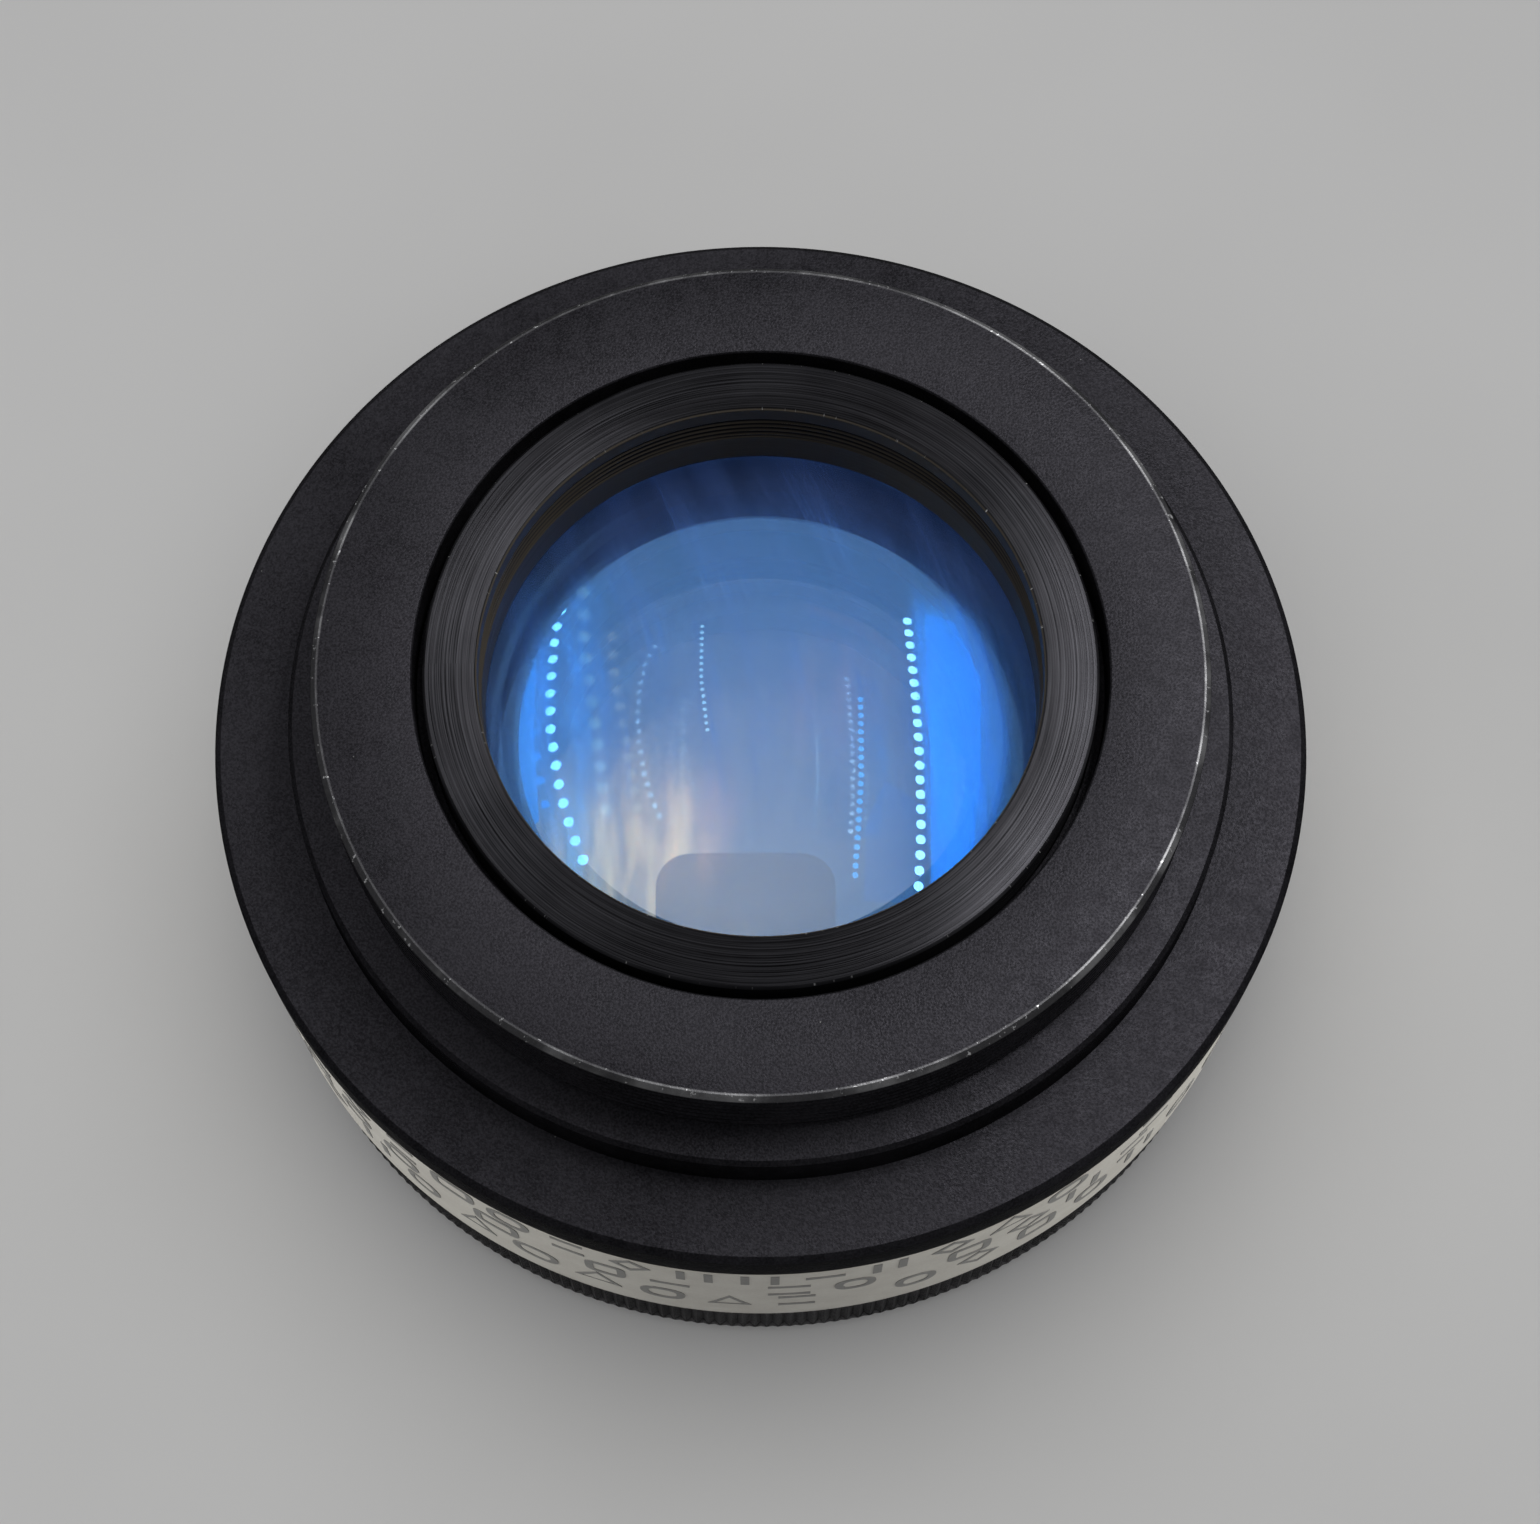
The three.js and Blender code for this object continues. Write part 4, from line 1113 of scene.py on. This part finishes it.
# light down through the optics, that makes the ground under the lens show in the glass
d = bpy.data.lights.new("through_light", "SPOT")
d.energy = 15.0
d.color = (1.0, 0.90, 0.72)
d.spot_size = math.radians(2.5)
d.spot_blend = 1.0
d.shadow_soft_size = 0.012
spot = bpy.data.objects.new("through_light", d)
spot.location = (-0.02, 0.03, 0.60)
spot.rotation_euler = (Vector((-0.008, -0.006, 0.0)) - Vector(spot.location)).to_track_quat("-Z", "Y").to_euler()
scene.collection.objects.link(spot)
spot.light_linking.receiver_collection = ground

# the dark back of the camera, that the glass and the satin faces mirror
card_pts = [(-31, -150)]
for k in range(9):
    card_pts.append((-21 - 10 * math.cos(math.pi / 2 * k / 8), 10 + 10 * math.sin(math.pi / 2 * k / 8)))
for k in range(9):
    card_pts.append((12 + 10 * math.sin(math.pi / 2 * k / 8), 10 + 10 * math.cos(math.pi / 2 * k / 8)))
card_pts.append((22, -150))
cm = bpy.data.meshes.new("camera_back")
cm.from_pydata([(x * MM, y * MM, 0.205) for x, y in card_pts], [], [list(range(len(card_pts)))])
cmat = bpy.data.materials.new("camera_back")
cmat.use_nodes = True
cmat.node_tree.nodes["Principled BSDF"].inputs["Base Color"].default_value = (0.02, 0.02, 0.02, 1)
cmat.node_tree.nodes["Principled BSDF"].inputs["Roughness"].default_value = 0.8
cm.materials.append(cmat)
card = bpy.data.objects.new("camera_back", cm)
scene.collection.objects.link(card)
card.visible_camera = False
card.visible_diffuse = False
card.visible_shadow = False
card.visible_transmission = False

lamp_row("lamps_left", [(-99.3, 226.2), (-106.4, 211.5), (-110.3, 179.4), (-110.4, 143.1), (-108.4, 116.9), (-101.6, 81.3), (-95.3, 60.5), (-88.4, 43.2)], 18, 5.6, (0.7, 1.0, 1.0), 14)
lamp_row("lamps_right", [(78.0, 183.0), (79.1, 148.9), (79.9, 122.4), (80.1, 94.5), (79.7, 58.2), (77.8, 28.9)], 20, 5.0, (0.8, 1.0, 0.9), 16)
lamp_row("lamps_outer", [(-130.6, 243.4), (-130.5, 210.9), (-126.1, 178.8), (-122.1, 148.2), (-118.6, 121.7), (-114.0, 97.0), (-109.1, 74.5)], 13, 5.0, (0.0, 0.5, 1.0), 3.0)
lamp_row("lamps_middle", [(-30.7, 175.3), (-30.4, 141.0), (-26.8, 110.7)], 17, 2.2, (1.0, 0.9, 0.6), 6)
panel("panel_low", [(50, 20), (80, 20), (84, 70), (62, 84), (52, 60)], (0.15, 0.6, 1.0), 0.9)
panel("panel_right", [(84, 22), (104, 30), (112, 90), (116, 150), (104, 186), (88, 190), (86, 120)], (0.0, 0.42, 1.0), 3.0)
panel("panel_left", [(-128, 210), (-140, 160), (-134, 110), (-120, 60), (-112, 66), (-118, 120), (-120, 170), (-114, 214)], (0.1, 0.55, 1.0), 2.9)


def glow(name, centre, radii, colour, strength):
    """A soft streaked patch of light at z = 350, seen only in the polished glass."""
    ob = panel(name, [(centre[0] + radii[0] * i, centre[1] + radii[1] * j) for i, j in ((-1, -1), (1, -1), (1, 1), (-1, 1))], colour, 1.0)
    for v in ob.data.vertices:
        v.co.z += 0.0006
    t = ob.data.materials[0].node_tree
    out = next(k for k in t.nodes if k.type == "OUTPUT_MATERIAL")
    em = next(k for k in t.nodes if k.type == "EMISSION")
    where = t.nodes.new("ShaderNodeTexCoord")
    to = t.nodes.new("ShaderNodeMapping")
    to.inputs["Location"].default_value = (-1.0, -1.0, 0.0)
    to.inputs["Scale"].default_value = (2.0, 2.0, 0.0)
    t.links.new(where.outputs["Generated"], to.inputs["Vector"])
    fall = t.nodes.new("ShaderNodeTexGradient")
    fall.gradient_type = "SPHERICAL"
    t.links.new(to.outputs["Vector"], fall.inputs["Vector"])
    long = t.nodes.new("ShaderNodeMapping")
    long.inputs["Scale"].default_value = (9.0, 2.2, 1.0)
    long.inputs["Rotation"].default_value = (0.0, 0.0, 0.25)
    t.links.new(where.outputs["Generated"], long.inputs["Vector"])
    streak = t.nodes.new("ShaderNodeTexNoise")
    streak.inputs["Scale"].default_value = 1.0
    streak.inputs["Detail"].default_value = 2.0
    t.links.new(long.outputs["Vector"], streak.inputs["Vector"])
    span = t.nodes.new("ShaderNodeMapRange")
    span.inputs["From Min"].default_value = 0.38
    span.inputs["From Max"].default_value = 0.66
    span.inputs["To Min"].default_value = 0.35
    span.inputs["To Max"].default_value = 1.5
    t.links.new(streak.outputs["Fac"], span.inputs["Value"])
    soft = t.nodes.new("ShaderNodeMapRange")
    soft.interpolation_type = "SMOOTHSTEP"
    soft.inputs["From Max"].default_value = 0.75
    t.links.new(fall.outputs["Fac"], soft.inputs["Value"])
    by = t.nodes.new("ShaderNodeMath")
    by.operation = "MULTIPLY"
    t.links.new(soft.outputs["Result"], by.inputs[0])
    t.links.new(span.outputs["Result"], by.inputs[1])
    power = t.nodes.new("ShaderNodeMath")
    power.operation = "MULTIPLY"
    t.links.new(by.outputs[0], power.inputs[0])
    power.inputs[1].default_value = strength
    t.links.new(power.outputs[0], em.inputs["Strength"])
    clear = t.nodes.new("ShaderNodeBsdfTransparent")
    both = t.nodes.new("ShaderNodeAddShader")
    t.links.new(em.outputs[0], both.inputs[0])
    t.links.new(clear.outputs[0], both.inputs[1])
    t.links.new(both.outputs[0], out.inputs["Surface"])
    return ob


glow("glow_low", (-74, 36), (68, 84), (1.0, 0.32, 0.06), 8.6)
lamp_row("lamps_inner", [(50.7, 130.0), (49.9, 85.6), (46.1, 33.1)], 21, 3.2, (0.2, 0.8, 1.0), 4)
